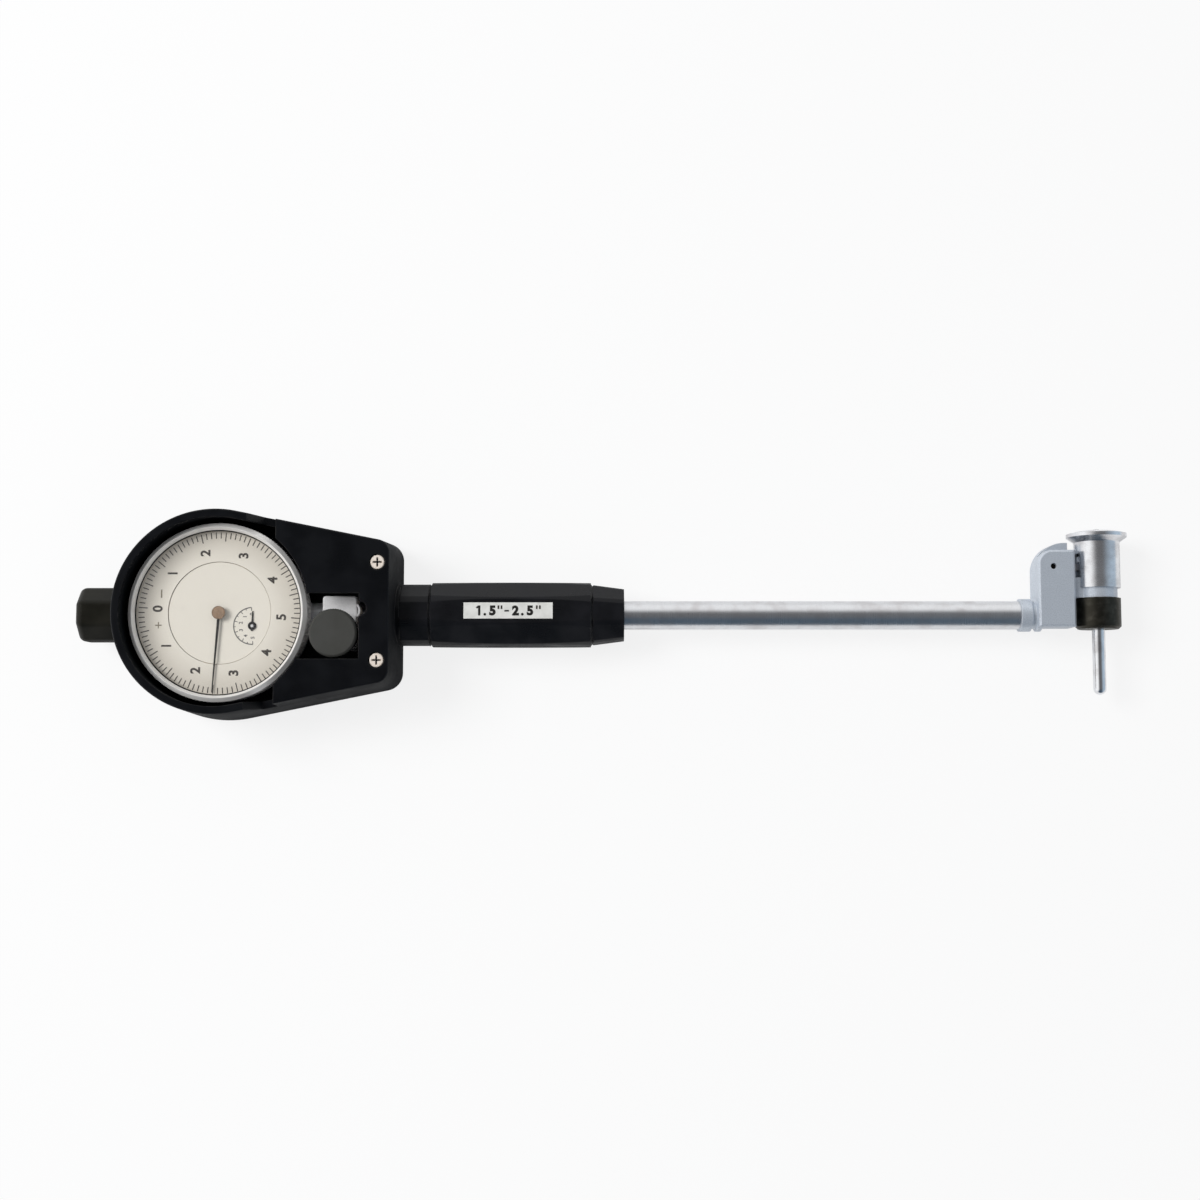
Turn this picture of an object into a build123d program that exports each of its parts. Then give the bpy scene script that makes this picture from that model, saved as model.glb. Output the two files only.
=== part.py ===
"""Dial bore gauge, lying on its back with the dial up.

X runs along the gauge from the dial's centre to the measuring head, Y across it and Z up.
The origin is on the back of the cover, under the dial's centre. All sizes are in millimetres.
"""
import os
from math import asin, atan2, cos, degrees, pi, radians, sin, tan

from build123d import *

os.makedirs("parts", exist_ok=True)

# Fits and travel
running_gap = 0.03  # radial gap of a shaft in its bush
sliding_gap = 0.1  # gap between flat faces that slide past each other
touch_gap = 0.02  # left between pieces that push on each other
travel = 1.2  # inward travel of the measuring contact
guide_travel = 2.5  # inward travel of the guide cup

# Cover: guard round the dial and neck
guard_gap = 1.4  # between the bezel and the guard's wall at its rim
guard_rise = 5.0  # rim above the bezel
back_clearance = 1.4  # between the cover's floor and the indicator's back
cover_wall = 2.4
cover_floor = 2.4
cover_draft = 3.5  # degrees
neck_taper = 11.4  # degrees on each side
neck_corner = 6.0
back_edge_radius = 4.0
front_edge_radius = 0.6
parting_rise = 1.0  # parting face above the top of the indicator's case
rim_slope_start = 9.65
rim_slope_length = 4.3
front_start = 18.75  # near edge of the front cover
dial_opening_gap = 1.4  # round the bezel
window_gap = 0.6  # round the knob
window_side_gap = 0.2  # beside the clamp block
notch_radius = 2.3
notch_y = 0.7
end_boss_radius = 9.6
end_boss_depth = 5.1  # behind the end wall's face
end_boss_proud = 0.2

# Cover screws
screw_end_inset = 5.5  # from the end wall
screw_side_inset = 7.82  # from the neck's side, measured at the end wall's back edge
screw_boss_radius = 3.5
screw_head_radius = 2.25
screw_head_height = 1.3
screw_recess_depth = 1.7
screw_shank_radius = 1.4
screw_length = 16.0
cross_length = 2.9
cross_width = 0.6
cross_depth = 0.6

# End cap
flats = 8  # round the end cap and the grip
cap_length = 12.4  # beyond the guard's round end
cap_apothem = 8.5
cap_edge_radius = 2.2
cap_end_radius = 2.4
cap_screw_radius = 2.0
cap_screw_head_radius = 3.5
cap_screw_head_height = 2.0
cap_screw_length = 10.0
cap_seat_wall = 1.9  # cover wall left under the cap screw's head

# Handle grip and label
grip_collar_length = 8.9
grip_main_length = 51.0
grip_tip_length = 10.5
grip_apothem = 9.9
grip_turn = 4.5  # degrees that the grip's flats lean towards +Y
grip_collar_radius = 9.85
grip_main_radius = 10.6
grip_waist_radius = 10.3
grip_tip_radius = 8.4
grip_shoulder_radius = 9.7
flat_depth = 0.4  # of the flats on the collar and the tip
groove_width = 0.9
groove_depth = 0.5
label_inset = 11.3  # from the grip's collar
label_length = 27.85
label_width = 5.1
label_thickness = 0.15

# Tube, push rod and its bushes
tube_radius = 4.5
tube_bore_radius = 3.0
tube_gap = 0.6  # between the indicator's stem and the tube
rod_radius = 2.0
rod_collar_radius = 2.8
rod_collar_length = 2.0
bush_length = 6.0
dial_bush_inset = 6.3  # from the near end of the grip
head_bush_inset = 3.0  # from the tube's end
rod_spring_length = 16.0
rod_spring_wire = 0.5
rod_spring_pitch = 2.8
nut_across_corners = 16.0
nut_thickness = 3.0
nut_gap = 4.9  # between the clamp block and the nut

# Clamp of the indicator's stem
block_gap = 4.12  # between the bezel and the clamp block
block_length = 10.7
block_side = 1.4  # wall beside the stem
block_drop = 6.0  # below the gauge axis
block_rise = 9.0  # above the gauge axis
block_edge_radius = 1.0
slit_width = 1.0
stem_radius = 4.0
stem_grip = 6.2  # length of stem inside the block
knob_inset = 4.7  # from the block's near face
knob_side = 2.7  # between the stem and the knob's axis
knob_wall = 4.5  # of the block beyond the knob's axis
knob_radius = 7.4
knob_height = 3.8
knob_drop = 0.4  # below the cover's front
knob_hub_radius = 4.0
knob_edge = 0.6
stud_radius = 2.0
stud_end_gap = 1.0  # above the block's underside
stud_in_knob = 3.0

# Dial indicator
case_radius = 26.0
case_wall = 1.6
case_headroom = 2.6  # above the movement's front plate
back_thickness = 1.4
back_screw_radius = 1.0
back_screw_inset = 3.4  # from the case's inner wall
back_screw_count = 4
back_screw_turn = 45.0  # degrees
back_lug_radius = 2.2
back_lug_height = 1.2
face_gap = 0.2
face_thickness = 0.4
ring_width = 9.9  # of the outer scale ring
face_split = 0.15
ring_proud = 0.3  # outer ring above the inner dial
bezel_wall = 1.8
bezel_skirt = 3.5
bezel_height = 5.0  # above the top of the case
bezel_overlap = 0.2  # over the case's edge
bezel_lip = 0.7
bezel_bevel = 1.2
crystal_thickness = 1.0
crystal_seat = 2.0  # above the top of the case
crystal_rise = 1.2
spindle_radius = 2.5
spindle_inset = 1.4  # spindle's near end, inside the case's outside
spindle_reach = 5.0  # shoulder beyond the stem
spindle_tip_length = 3.0
spindle_tip_radius = 1.9
stem_flange_radius = 5.2
stem_flange = 1.6
spindle_bush_radius = 3.6
spindle_bush_proud = 1.4  # outside the case

# Gear train: one turn of the main hand for each 1.27 mm of spindle travel
travel_per_turn = 1.27
rack_teeth = 15
pinion_teeth = 16
wheel_teeth = 100
hand_pinion_teeth = 10
rack_pitch_y = -2.0  # pitch line of the rack, off the spindle's axis
wheel_gap = 3.3  # between a wheel and the case's inner wall
tooth_share = 0.4  # of the pitch, taken by a tooth at the pitch line
tip_share = 0.5  # of the tooth's own thickness, left at its tip
root_share = 1.3
addendum_share = 0.8  # of the module
dedendum_share = 1.15
pinion_width = 3.0
wheel_width = 0.6
wheel_height = 3.6  # underside of the wheel above the gauge axis
wheel_headroom = 1.2  # between the wheel and the front plate
hand_pinion_width = 1.2
arbor_radius = 0.7
hand_arbor_radius = 0.6
hand_bush_radius = 1.6
plate_thickness = 1.0
back_plate_drop = 4.6  # underside of the back plate below the gauge axis
back_plate_gap = 2.9  # inside the case's inner wall
front_plate_gap = 1.4  # inside the case's inner wall
pillar_radius = 1.5
pillar_turn = 45.0  # degrees off the line of the train, to both sides
foot_radius = 0.9
foot_inset = 2.7  # from the inner dial's edge
foot_count = 3
foot_turn = 68.0  # degrees
hairspring_gap = 0.3  # above the back plate
hairspring_strip = 0.5
hairspring_thickness = 0.12
hairspring_pitch = 0.6
hairspring_half_turns = 6
stud_post_radius = 0.5

# Hands
hand_tip_gap = 1.0  # between the main hand and the bezel
hand_tail = 1.8
hand_width = 0.9
hand_tip_width = 0.3
hand_thickness = 0.2
hand_hub_radius = 1.95
hand_hub_height = 1.1
hand_angle = -94.1  # degrees
hand_rise = 0.9  # above the dial's face
counter_length = 4.6
counter_tail = 1.6
counter_width = 0.6
counter_hub_radius = 1.3
counter_rise = 0.15
counter_angle = 88.0

# Measuring head
head_x = 276.95  # dial centre to the measuring axis
lever_arm = 15.2  # both arms of the bell crank
lever_thickness = 2.8
lever_tip_radius = 1.5
lever_arm_width = 2.0
lever_hub_radius = 3.0
hub_clearance = 0.4
slot_clearance = 0.3
slot_end_gap = 0.7  # under the lever's lower tip
slot_front = 2.9  # from the pivot to the slot's far wall
block_back = 4.8  # block behind the pivot
block_under = 1.7  # wall under the slot
cheek_over = 5.2  # cheek above the pivot
cup_clearance = 1.2  # between the block and the guide cup
flange_clearance = 0.45  # between the block and the guide cup's flange
rear_drop = 1.2  # rear body's top below the guide cup's roof
cheek_corner = 4.5
rear_corner = 9.0
head_half_depth = 5.5
cheek_depth = 3.9  # front cheek, in front of the lever slot
cheek_chamfer = 0.6
head_collar_radius = 5.2
head_collar_length = 5.3
head_groove_depth = 0.9
head_groove_width = 0.9
socket_inset = 2.3  # from the block to the tube's end
rod_bore_radius = 2.3
pin_radius = 0.95
pin_recess = 1.6
barrel_radius = 6.1
barrel_stub_radius = 4.6
barrel_stub_length = 2.8
web_half_width = 3.0
web_drop = 0.4  # web's top below the slot
chamber_radius = 3.2
chamber_drop = 0.6  # chamber's floor below the slot
barrel_floor = 6.2  # solid under the chamber
contact_bush_radius = 3.6
contact_bush_length = 3.0
spigot_radius = 5.0
spigot_length = 7.0
plunger_radius = 2.0
plunger_collar_radius = 2.8
plunger_collar_height = 1.58
contact_proud = 0.6  # above the guide cup's crown
contact_height = 1.6  # above the plunger
contact_stem_radius = 1.0
contact_stem_length = 2.0

# Guide cup and its spring
cup_radius = 7.1
cup_bottom_gap = 0.7  # left above the ring nut's seat at full travel
cup_roof_gap = 0.3  # left over the barrel at full travel
cup_neck = 1.0  # cone under the roof's level
cup_roof = 0.6
flange_radius = 9.35
flange_edge = 1.1
flange_crown = 1.1
contact_hole_gap = 0.08
guide_spring_wire = 0.7
guide_spring_pitch = 1.6

# Anvil and its ring nut
anvil_nut_radius = 7.1
anvil_nut_lip = 1.3
anvil_nut_chamfer = 0.8
anvil_radius = 2.0
anvil_length = 23.6  # below the spigot
anvil_flange_radius = 4.2
anvil_flange_thickness = 1.5

# Heights, worked out upwards from the back of the cover
case_bottom = cover_floor + back_clearance + back_thickness
back_plate_bottom = case_bottom + back_lug_height
back_plate_top = back_plate_bottom + plate_thickness
axis_height = back_plate_bottom + back_plate_drop
wheel_bottom = axis_height + wheel_height
front_plate_bottom = wheel_bottom + wheel_width + wheel_headroom
front_plate_top = front_plate_bottom + plate_thickness
case_top = front_plate_top + case_headroom
face_bottom = case_top + face_gap
face_top = face_bottom + face_thickness
bezel_top = case_top + bezel_height
crystal_bottom = case_top + crystal_seat
crystal_top = crystal_bottom + crystal_thickness
parting_height = case_top + parting_rise
cover_depth = bezel_top + guard_rise
seat_height = cover_depth - screw_recess_depth
block_bottom = axis_height - block_drop
block_top = axis_height + block_rise
knob_top = cover_depth - knob_drop
knob_bottom = knob_top - knob_height
stud_bottom = block_bottom + stud_end_gap
hairspring_bottom = back_plate_top + hairspring_gap

# Radii round the dial, worked out from the case
case_inner_radius = case_radius - case_wall
bezel_radius = case_radius + running_gap + bezel_wall
bezel_inner_radius = case_radius - bezel_overlap
inner_face_radius = bezel_inner_radius - ring_width
back_screw_ring = case_inner_radius - back_screw_inset
back_plate_radius = case_inner_radius - back_plate_gap
front_plate_radius = case_inner_radius - front_plate_gap
dial_opening_radius = bezel_radius + dial_opening_gap
draft_slope = tan(radians(cover_draft))
cover_radius = bezel_radius + guard_gap + cover_wall + cover_depth * draft_slope
hand_length = bezel_inner_radius - hand_tip_gap

# Places along the gauge, worked out from the dial to the head
cap_end = -cover_radius - cap_length
cap_seat_x = -(cover_radius - axis_height * draft_slope - cap_seat_wall)
spindle_end = spindle_inset - case_radius
spindle_bush_end = -case_radius - spindle_bush_proud
rim_slope_end = rim_slope_start + rim_slope_length
block_start = bezel_radius + block_gap
block_end = block_start + block_length
stem_end = block_start + stem_grip
tube_start = stem_end + tube_gap
spindle_shoulder = stem_end + spindle_reach
rod_start = spindle_shoulder + spindle_tip_length
knob_x = block_start + knob_inset
knob_y = -stem_radius - knob_side
block_top_y = stem_radius + block_side
block_bottom_y = knob_y - knob_wall
window_end = knob_x + knob_radius + window_gap
window_top = block_top_y + window_side_gap
window_bottom = knob_y - knob_radius - window_gap
nut_start = block_end + nut_gap
end_boss_start = nut_start + nut_thickness
cover_length = end_boss_start + end_boss_depth
end_boss_end = cover_length + end_boss_proud
taper_angle = radians(neck_taper)
neck_half_width = cover_radius / cos(taper_angle) - cover_length * tan(taper_angle)
screw_x = cover_length - screw_end_inset
screw_y = neck_half_width - screw_side_inset
grip_start = end_boss_end
grip_collar_end = grip_start + grip_collar_length
grip_main_end = grip_collar_end + grip_main_length
grip_end = grip_main_end + grip_tip_length
label_start = grip_collar_end + label_inset
dial_bush_x = grip_start + dial_bush_inset
rod_spring_start = dial_bush_x + bush_length
rod_collar_x = rod_spring_start + rod_spring_length
pivot_x = head_x - lever_arm
block_left = pivot_x - block_back
block_right = head_x - cup_radius - cup_clearance
slot_left = pivot_x - lever_hub_radius - hub_clearance
slot_low_right = pivot_x + slot_front
head_collar_start = block_left - head_collar_length
tube_end = block_left - socket_inset
head_bush_x = tube_end - head_bush_inset - bush_length
rod_end = pivot_x - lever_tip_radius - touch_gap
relief_x = head_x - flange_radius - flange_clearance

# Places along the measuring axis, worked out from the bell crank's pivot
pivot_y = lever_arm
slot_half = lever_thickness / 2 + sliding_gap
slot_low_y = -lever_tip_radius - slot_end_gap
slot_bar_low = pivot_y - lever_tip_radius - travel - slot_clearance
slot_bar_high = pivot_y + lever_tip_radius + slot_clearance
block_low_y = slot_low_y - block_under
cheek_top_y = pivot_y + cheek_over
plunger_bottom_y = pivot_y + lever_tip_radius + touch_gap
plunger_collar_top_y = plunger_bottom_y + plunger_collar_height
bush_seat_y = plunger_collar_top_y + sliding_gap
barrel_top_y = bush_seat_y + contact_bush_length
barrel_shoulder_y = barrel_top_y - barrel_stub_length
web_top_y = slot_bar_low - web_drop
chamber_bottom_y = slot_bar_low - chamber_drop
barrel_bottom_y = chamber_bottom_y - barrel_floor
spigot_bottom_y = barrel_bottom_y - spigot_length
cup_bottom_y = barrel_bottom_y + guide_travel + cup_bottom_gap
cup_roof_y = barrel_top_y + guide_travel + cup_roof_gap
cup_top_y = cup_roof_y - cup_neck
flange_low_y = cup_roof_y + cup_roof
flange_high_y = flange_low_y + flange_edge
flange_crown_y = flange_high_y + flange_crown
contact_top_y = flange_crown_y + contact_proud
plunger_top_y = contact_top_y - contact_height
rear_top_y = cup_roof_y - rear_drop
relief_y = cup_top_y - guide_travel
anvil_flange_bottom_y = spigot_bottom_y - anvil_flange_thickness
anvil_nut_bottom_y = anvil_flange_bottom_y - anvil_nut_lip
anvil_tip_y = spigot_bottom_y - anvil_length

# Gear train, worked out from its teeth and the room in the case
rack_pitch = travel_per_turn * wheel_teeth / hand_pinion_teeth / pinion_teeth
rack_module = rack_pitch / pi
pinion_pitch_radius = rack_pitch * pinion_teeth / (2 * pi)
train_teeth = wheel_teeth + hand_pinion_teeth
wheel_reach_share = 1 + (wheel_teeth + 2 * addendum_share) / train_teeth
train_centres = (case_inner_radius - wheel_gap) / wheel_reach_share
wheel_pitch_radius = train_centres * wheel_teeth / train_teeth
hand_pinion_pitch_radius = train_centres - wheel_pitch_radius
arbor_y = rack_pitch_y - pinion_pitch_radius
arbor_x = (train_centres**2 - arbor_y**2) ** 0.5
takeup_x = -arbor_x
takeup_y = -arbor_y
hand_bearing = atan2(-arbor_y, -arbor_x)
hairspring_inner = arbor_radius + hairspring_pitch / 2
hairspring_reach = hairspring_inner + hairspring_half_turns * hairspring_pitch / 2

# Axes and section planes: local x along the piece or its radius, local y its radius or height
gauge_axis = Axis((0, 0, axis_height), (1, 0, 0))
measuring_axis = Axis((head_x, 0, axis_height), (0, 1, 0))
gauge_section = Plane(origin=(0, 0, axis_height), x_dir=(1, 0, 0), z_dir=(0, -1, 0))
head_section = Plane(origin=(head_x, 0, axis_height), x_dir=(1, 0, 0), z_dir=(0, 0, 1))


def across(x):
    """Plane square to the gauge's axis at x; its local x is Y and its local y is Z."""
    return Plane(origin=(x, 0, axis_height), x_dir=(0, 1, 0), z_dir=(1, 0, 0))


def across_head(y):
    """Plane square to the measuring axis at y."""
    return Plane(origin=(head_x, y, axis_height), x_dir=(1, 0, 0), z_dir=(0, 1, 0))


def above(height, x=0, y=0):
    """Level plane at a height, centred over a point."""
    return Plane(origin=(x, y, height), x_dir=(1, 0, 0), z_dir=(0, 0, 1))


def keep(piece, name):
    """Label a finished piece and write it to its own file."""
    piece.part.label = name
    export_step(piece.part, f"parts/{name}.step")


def cover_outline(height, inset):
    """Outline of the cover at a height, moved inwards: a round end and a tapering neck."""
    radius = cover_radius - inset
    length = cover_length - inset
    tangent = (radius * sin(taper_angle), radius * cos(taper_angle))
    end_y = radius / cos(taper_angle) - length * tan(taper_angle)
    with BuildSketch(above(height)) as outline:
        with BuildLine():
            ThreePointArc(tangent, (-radius, 0), (tangent[0], -tangent[1]))
            Polyline((tangent[0], -tangent[1]), (length, -end_y), (length, end_y), tangent)
        make_face()
        fillet(outline.vertices().group_by(Axis.X)[-1], neck_corner - inset)
    return outline.sketch


def cover_envelope():
    """Drafted outer form that both halves of the cover share."""
    with BuildPart() as envelope:
        extrude(cover_outline(0, 0), amount=cover_depth, taper=cover_draft)
        fillet(envelope.faces().sort_by(Axis.Z)[0].edges(), back_edge_radius)
        fillet(envelope.faces().sort_by(Axis.Z)[-1].edges(), front_edge_radius)
    return envelope.part


def cover_cavity(low, high):
    """Drafted space inside the cover's wall, between two heights."""
    with BuildPart() as cavity:
        inset = cover_wall + low * draft_slope
        extrude(cover_outline(low, inset), amount=high - low, taper=cover_draft)
    return cavity.part


def gear_points(teeth, pitch_radius, phase):
    """Corner points of a straight-flanked gear; phase is the angle of one tooth's middle."""
    module = 2 * pitch_radius / teeth
    tip_radius = pitch_radius + addendum_share * module
    root_radius = pitch_radius - dedendum_share * module
    half_tooth = tooth_share * pi / teeth
    corners = [
        (root_radius, -root_share * half_tooth),
        (tip_radius, -tip_share * half_tooth),
        (tip_radius, tip_share * half_tooth),
        (root_radius, root_share * half_tooth),
    ]
    polar = [
        (radius, phase + 2 * pi * k / teeth + turn) for k in range(teeth) for radius, turn in corners
    ]
    return [(radius * cos(turn), radius * sin(turn)) for radius, turn in polar]


def coil(radius, wire, pitch, length):
    """Round coil spring along its local Z, cut flat to its length."""
    turns_length = length - wire
    with BuildPart() as spring:
        with BuildLine() as path:
            Helix(pitch=pitch, height=turns_length, radius=radius, center=(0, 0, wire / 2))
        with BuildSketch(Plane(origin=path.line @ 0, z_dir=path.line % 0)):
            RegularPolygon(radius=wire / 2, side_count=6)
        sweep()
    return spring.part


# Rear cover: guard, neck tray, screw bosses and the end wall's boss
with BuildPart() as cover_rear:
    add(cover_envelope())
    add(cover_cavity(cover_floor, cover_depth), mode=Mode.SUBTRACT)
    with BuildSketch(Plane.XZ):
        with BuildLine():
            Polyline(
                (rim_slope_start, cover_depth),
                (rim_slope_end, parting_height),
                (2 * cover_length, parting_height),
                (2 * cover_length, cover_depth),
                close=True,
            )
        make_face()
    extrude(amount=2 * cover_radius, both=True, mode=Mode.SUBTRACT)
    with BuildSketch(above(cover_floor)):
        with Locations((screw_x, screw_y), (screw_x, -screw_y)):
            Circle(screw_boss_radius)
    extrude(amount=parting_height - cover_floor)
    with BuildSketch(across(end_boss_start)):
        Circle(end_boss_radius)
    extrude(amount=end_boss_end - end_boss_start)
    with BuildSketch(above(parting_height)):
        with Locations((screw_x, screw_y), (screw_x, -screw_y)):
            Circle(screw_shank_radius)
    extrude(amount=seat_height - screw_length - parting_height, mode=Mode.SUBTRACT)
    with BuildSketch(across(nut_start)):
        Circle(tube_radius + running_gap)
    extrude(amount=cover_length, mode=Mode.SUBTRACT)
    with BuildSketch(across(cap_seat_x)):
        Circle(cap_screw_head_radius + sliding_gap)
    extrude(amount=cover_wall, mode=Mode.SUBTRACT)
    with BuildSketch(across(cap_seat_x)):
        Circle(cap_screw_radius)
    extrude(amount=-cover_wall, mode=Mode.SUBTRACT)
keep(cover_rear, "cover_rear")

# Front cover: neck plate with skirt, dial opening, window and screw bosses
with BuildPart() as cover_front:
    add(cover_envelope())
    add(cover_cavity(0, cover_depth - cover_floor), mode=Mode.SUBTRACT)
    with BuildSketch(above(cover_depth - cover_floor)):
        with Locations((screw_x, screw_y), (screw_x, -screw_y)):
            Circle(screw_boss_radius)
    extrude(amount=parting_height - cover_depth + cover_floor)
    split(bisect_by=above(parting_height), keep=Keep.TOP)
    split(bisect_by=across(front_start), keep=Keep.TOP)
    with BuildSketch(above(cover_depth)):
        Circle(dial_opening_radius)
        with BuildLine():
            Polyline(
                (0, window_bottom),
                (window_end, window_bottom),
                (window_end, window_top),
                (0, window_top),
                close=True,
            )
        make_face()
        with Locations((window_end, notch_y)):
            Circle(notch_radius)
    extrude(amount=-cover_floor, mode=Mode.SUBTRACT)
    with Locations((screw_x, screw_y, cover_depth), (screw_x, -screw_y, cover_depth)):
        CounterBoreHole(
            radius=screw_shank_radius + sliding_gap,
            counter_bore_radius=screw_head_radius + 2 * sliding_gap,
            counter_bore_depth=screw_recess_depth,
        )
keep(cover_front, "cover_front")

# Two cross-head screws of the front cover
with BuildPart() as cover_screws:
    with BuildSketch(above(seat_height)):
        with Locations((screw_x, screw_y), (screw_x, -screw_y)):
            Circle(screw_head_radius)
    extrude(amount=screw_head_height)
    fillet(cover_screws.faces().sort_by(Axis.Z)[-2:].edges(), screw_head_height / 3)
    with BuildSketch(above(seat_height)):
        with Locations((screw_x, screw_y), (screw_x, -screw_y)):
            Circle(screw_shank_radius)
    extrude(amount=-screw_length)
    with BuildSketch(above(seat_height + screw_head_height)):
        with Locations((screw_x, screw_y, 0), (screw_x, -screw_y, 0)):
            Rectangle(cross_length, cross_width)
            Rectangle(cross_width, cross_length)
    extrude(amount=-cross_depth, mode=Mode.SUBTRACT)
keep(cover_screws, "cover_screws")

# End cap: eight soft flats, rounded end, seated on the guard's drafted wall
with BuildPart() as end_cap:
    with BuildSketch(across(cap_end)):
        RegularPolygon(cap_apothem, flats, major_radius=False, rotation=180 / flats)
    extrude(amount=-cap_end - cover_radius / 2)
    fillet(end_cap.edges().filter_by(Axis.X), cap_edge_radius)
    fillet(end_cap.faces().sort_by(Axis.X)[0].edges(), cap_end_radius)
    add(cover_envelope(), mode=Mode.SUBTRACT)
    with BuildSketch(across(cap_seat_x)):
        Circle(cap_screw_radius)
    extrude(amount=-cap_screw_length, mode=Mode.SUBTRACT)
keep(end_cap, "end_cap")

# Screw that holds the end cap from inside the guard
with BuildPart() as cap_screw:
    with BuildSketch(across(cap_seat_x)):
        Circle(cap_screw_head_radius)
    extrude(amount=cap_screw_head_height)
    chamfer(cap_screw.faces().sort_by(Axis.X)[-1].edges(), cap_screw_head_height / 4)
    with BuildSketch(across(cap_seat_x)):
        Circle(cap_screw_radius)
    extrude(amount=-cap_screw_length)
keep(cap_screw, "cap_screw")

# Flats along the whole grip, stepped with its collar, barrel and tip
with BuildPart() as grip_flats:
    flat_turn = 180 / flats - grip_turn
    tip_taper = degrees(atan2(grip_shoulder_radius - grip_tip_radius, grip_tip_length))
    with BuildSketch(across(grip_start)):
        RegularPolygon(grip_collar_radius - flat_depth, flats, major_radius=False, rotation=flat_turn)
    extrude(amount=grip_collar_length)
    with BuildSketch(across(grip_collar_end)):
        RegularPolygon(grip_apothem, flats, major_radius=False, rotation=flat_turn)
    extrude(amount=grip_main_length)
    with BuildSketch(across(grip_main_end)):
        RegularPolygon(grip_shoulder_radius - flat_depth, flats, major_radius=False, rotation=flat_turn)
    extrude(amount=grip_tip_length, taper=tip_taper)

# Handle grip: turned barrel with eight soft flats
with BuildPart() as handle_grip:
    grip_middle = (grip_collar_end + grip_main_end) / 2
    with BuildSketch(gauge_section):
        with BuildLine():
            Polyline(
                (grip_collar_end + groove_width, grip_waist_radius),
                (grip_collar_end + groove_width / 2, grip_collar_radius - groove_depth),
                (grip_collar_end, grip_collar_radius),
                (grip_start, grip_collar_radius),
                (grip_start, tube_radius),
                (grip_end, tube_radius),
                (grip_end, grip_tip_radius),
                (grip_main_end + groove_width, grip_shoulder_radius),
                (grip_main_end + groove_width / 2, grip_shoulder_radius - groove_depth),
                (grip_main_end, grip_waist_radius),
            )
            ThreePointArc(
                (grip_main_end, grip_waist_radius),
                (grip_middle, grip_main_radius),
                (grip_collar_end + groove_width, grip_waist_radius),
            )
        make_face()
    revolve(axis=gauge_axis)
    add(grip_flats.part, mode=Mode.INTERSECT)
keep(handle_grip, "handle_grip")

# White plate on the grip's upper flat
with BuildPart() as range_label:
    lean = (sin(radians(grip_turn)), cos(radians(grip_turn)))
    label_seat = Plane(
        origin=(
            label_start + label_length / 2,
            grip_apothem * lean[0],
            axis_height + grip_apothem * lean[1],
        ),
        x_dir=(1, 0, 0),
        z_dir=(0, *lean),
    )
    with BuildSketch(label_seat):
        RectangleRounded(label_length, label_width, label_width / 8)
    extrude(amount=label_thickness)
keep(range_label, "range_label")

# Tube between the clamp and the head
with BuildPart() as tube:
    with BuildSketch(across(tube_start)):
        Circle(tube_radius)
        Circle(tube_bore_radius, mode=Mode.SUBTRACT)
    extrude(amount=tube_end - tube_start)
keep(tube, "tube")

# Hexagon nut that clamps the cover's end wall against the grip
with BuildPart() as tube_nut:
    with BuildSketch(across(nut_start)):
        RegularPolygon(radius=nut_across_corners / 2, side_count=6)
        Circle(tube_radius, mode=Mode.SUBTRACT)
    extrude(amount=nut_thickness)
keep(tube_nut, "tube_nut")

# Push rod with the collar its spring bears on, and rounded ends
with BuildPart() as push_rod:
    with BuildSketch(across(rod_start)):
        Circle(rod_radius)
    extrude(amount=rod_end - rod_start)
    chamfer(push_rod.edges().filter_by(GeomType.CIRCLE), rod_radius / 4)
    with BuildSketch(across(rod_collar_x)):
        Circle(rod_collar_radius)
    extrude(amount=rod_collar_length)
keep(push_rod, "push_rod")

# Two bushes in the tube that guide the push rod
with BuildPart() as rod_bushes:
    for bush_x in (dial_bush_x, head_bush_x):
        with BuildSketch(across(bush_x)):
            Circle(tube_bore_radius)
            Circle(rod_radius + running_gap, mode=Mode.SUBTRACT)
        extrude(amount=bush_length)
keep(rod_bushes, "rod_bushes")

# Coil spring of the measuring force, between the first bush and the rod's collar
with BuildPart() as rod_spring:
    rod_coil = coil(
        (rod_radius + tube_bore_radius) / 2,
        rod_spring_wire,
        rod_spring_pitch,
        rod_spring_length,
    )
    add(across(rod_spring_start) * rod_coil)
keep(rod_spring, "rod_spring")

# Split block that grips the indicator's stem and sits on the end of the tube
with BuildPart() as clamp_block:
    with BuildSketch(above(block_bottom)):
        with Locations(((block_start + block_end) / 2, (block_top_y + block_bottom_y) / 2)):
            RectangleRounded(block_end - block_start, block_top_y - block_bottom_y, block_edge_radius)
    extrude(amount=block_top - block_bottom)
    chamfer(clamp_block.faces().sort_by(Axis.Z)[-1].edges(), block_edge_radius / 3)
    with BuildSketch(across(block_start)):
        Circle(stem_radius)
        with BuildLine():
            Polyline(
                (0, -slit_width / 2),
                (0, slit_width / 2),
                (2 * block_bottom_y, slit_width / 2),
                (2 * block_bottom_y, -slit_width / 2),
                close=True,
            )
        make_face()
    extrude(amount=block_end - block_start, mode=Mode.SUBTRACT)
    with BuildSketch(across(tube_start)):
        Circle(tube_radius)
    extrude(amount=block_end - tube_start, mode=Mode.SUBTRACT)
    with BuildSketch(above(block_bottom, knob_x, knob_y)):
        Circle(stud_radius + running_gap)
    extrude(amount=block_top - block_bottom, mode=Mode.SUBTRACT)
keep(clamp_block, "clamp_block")

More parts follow.
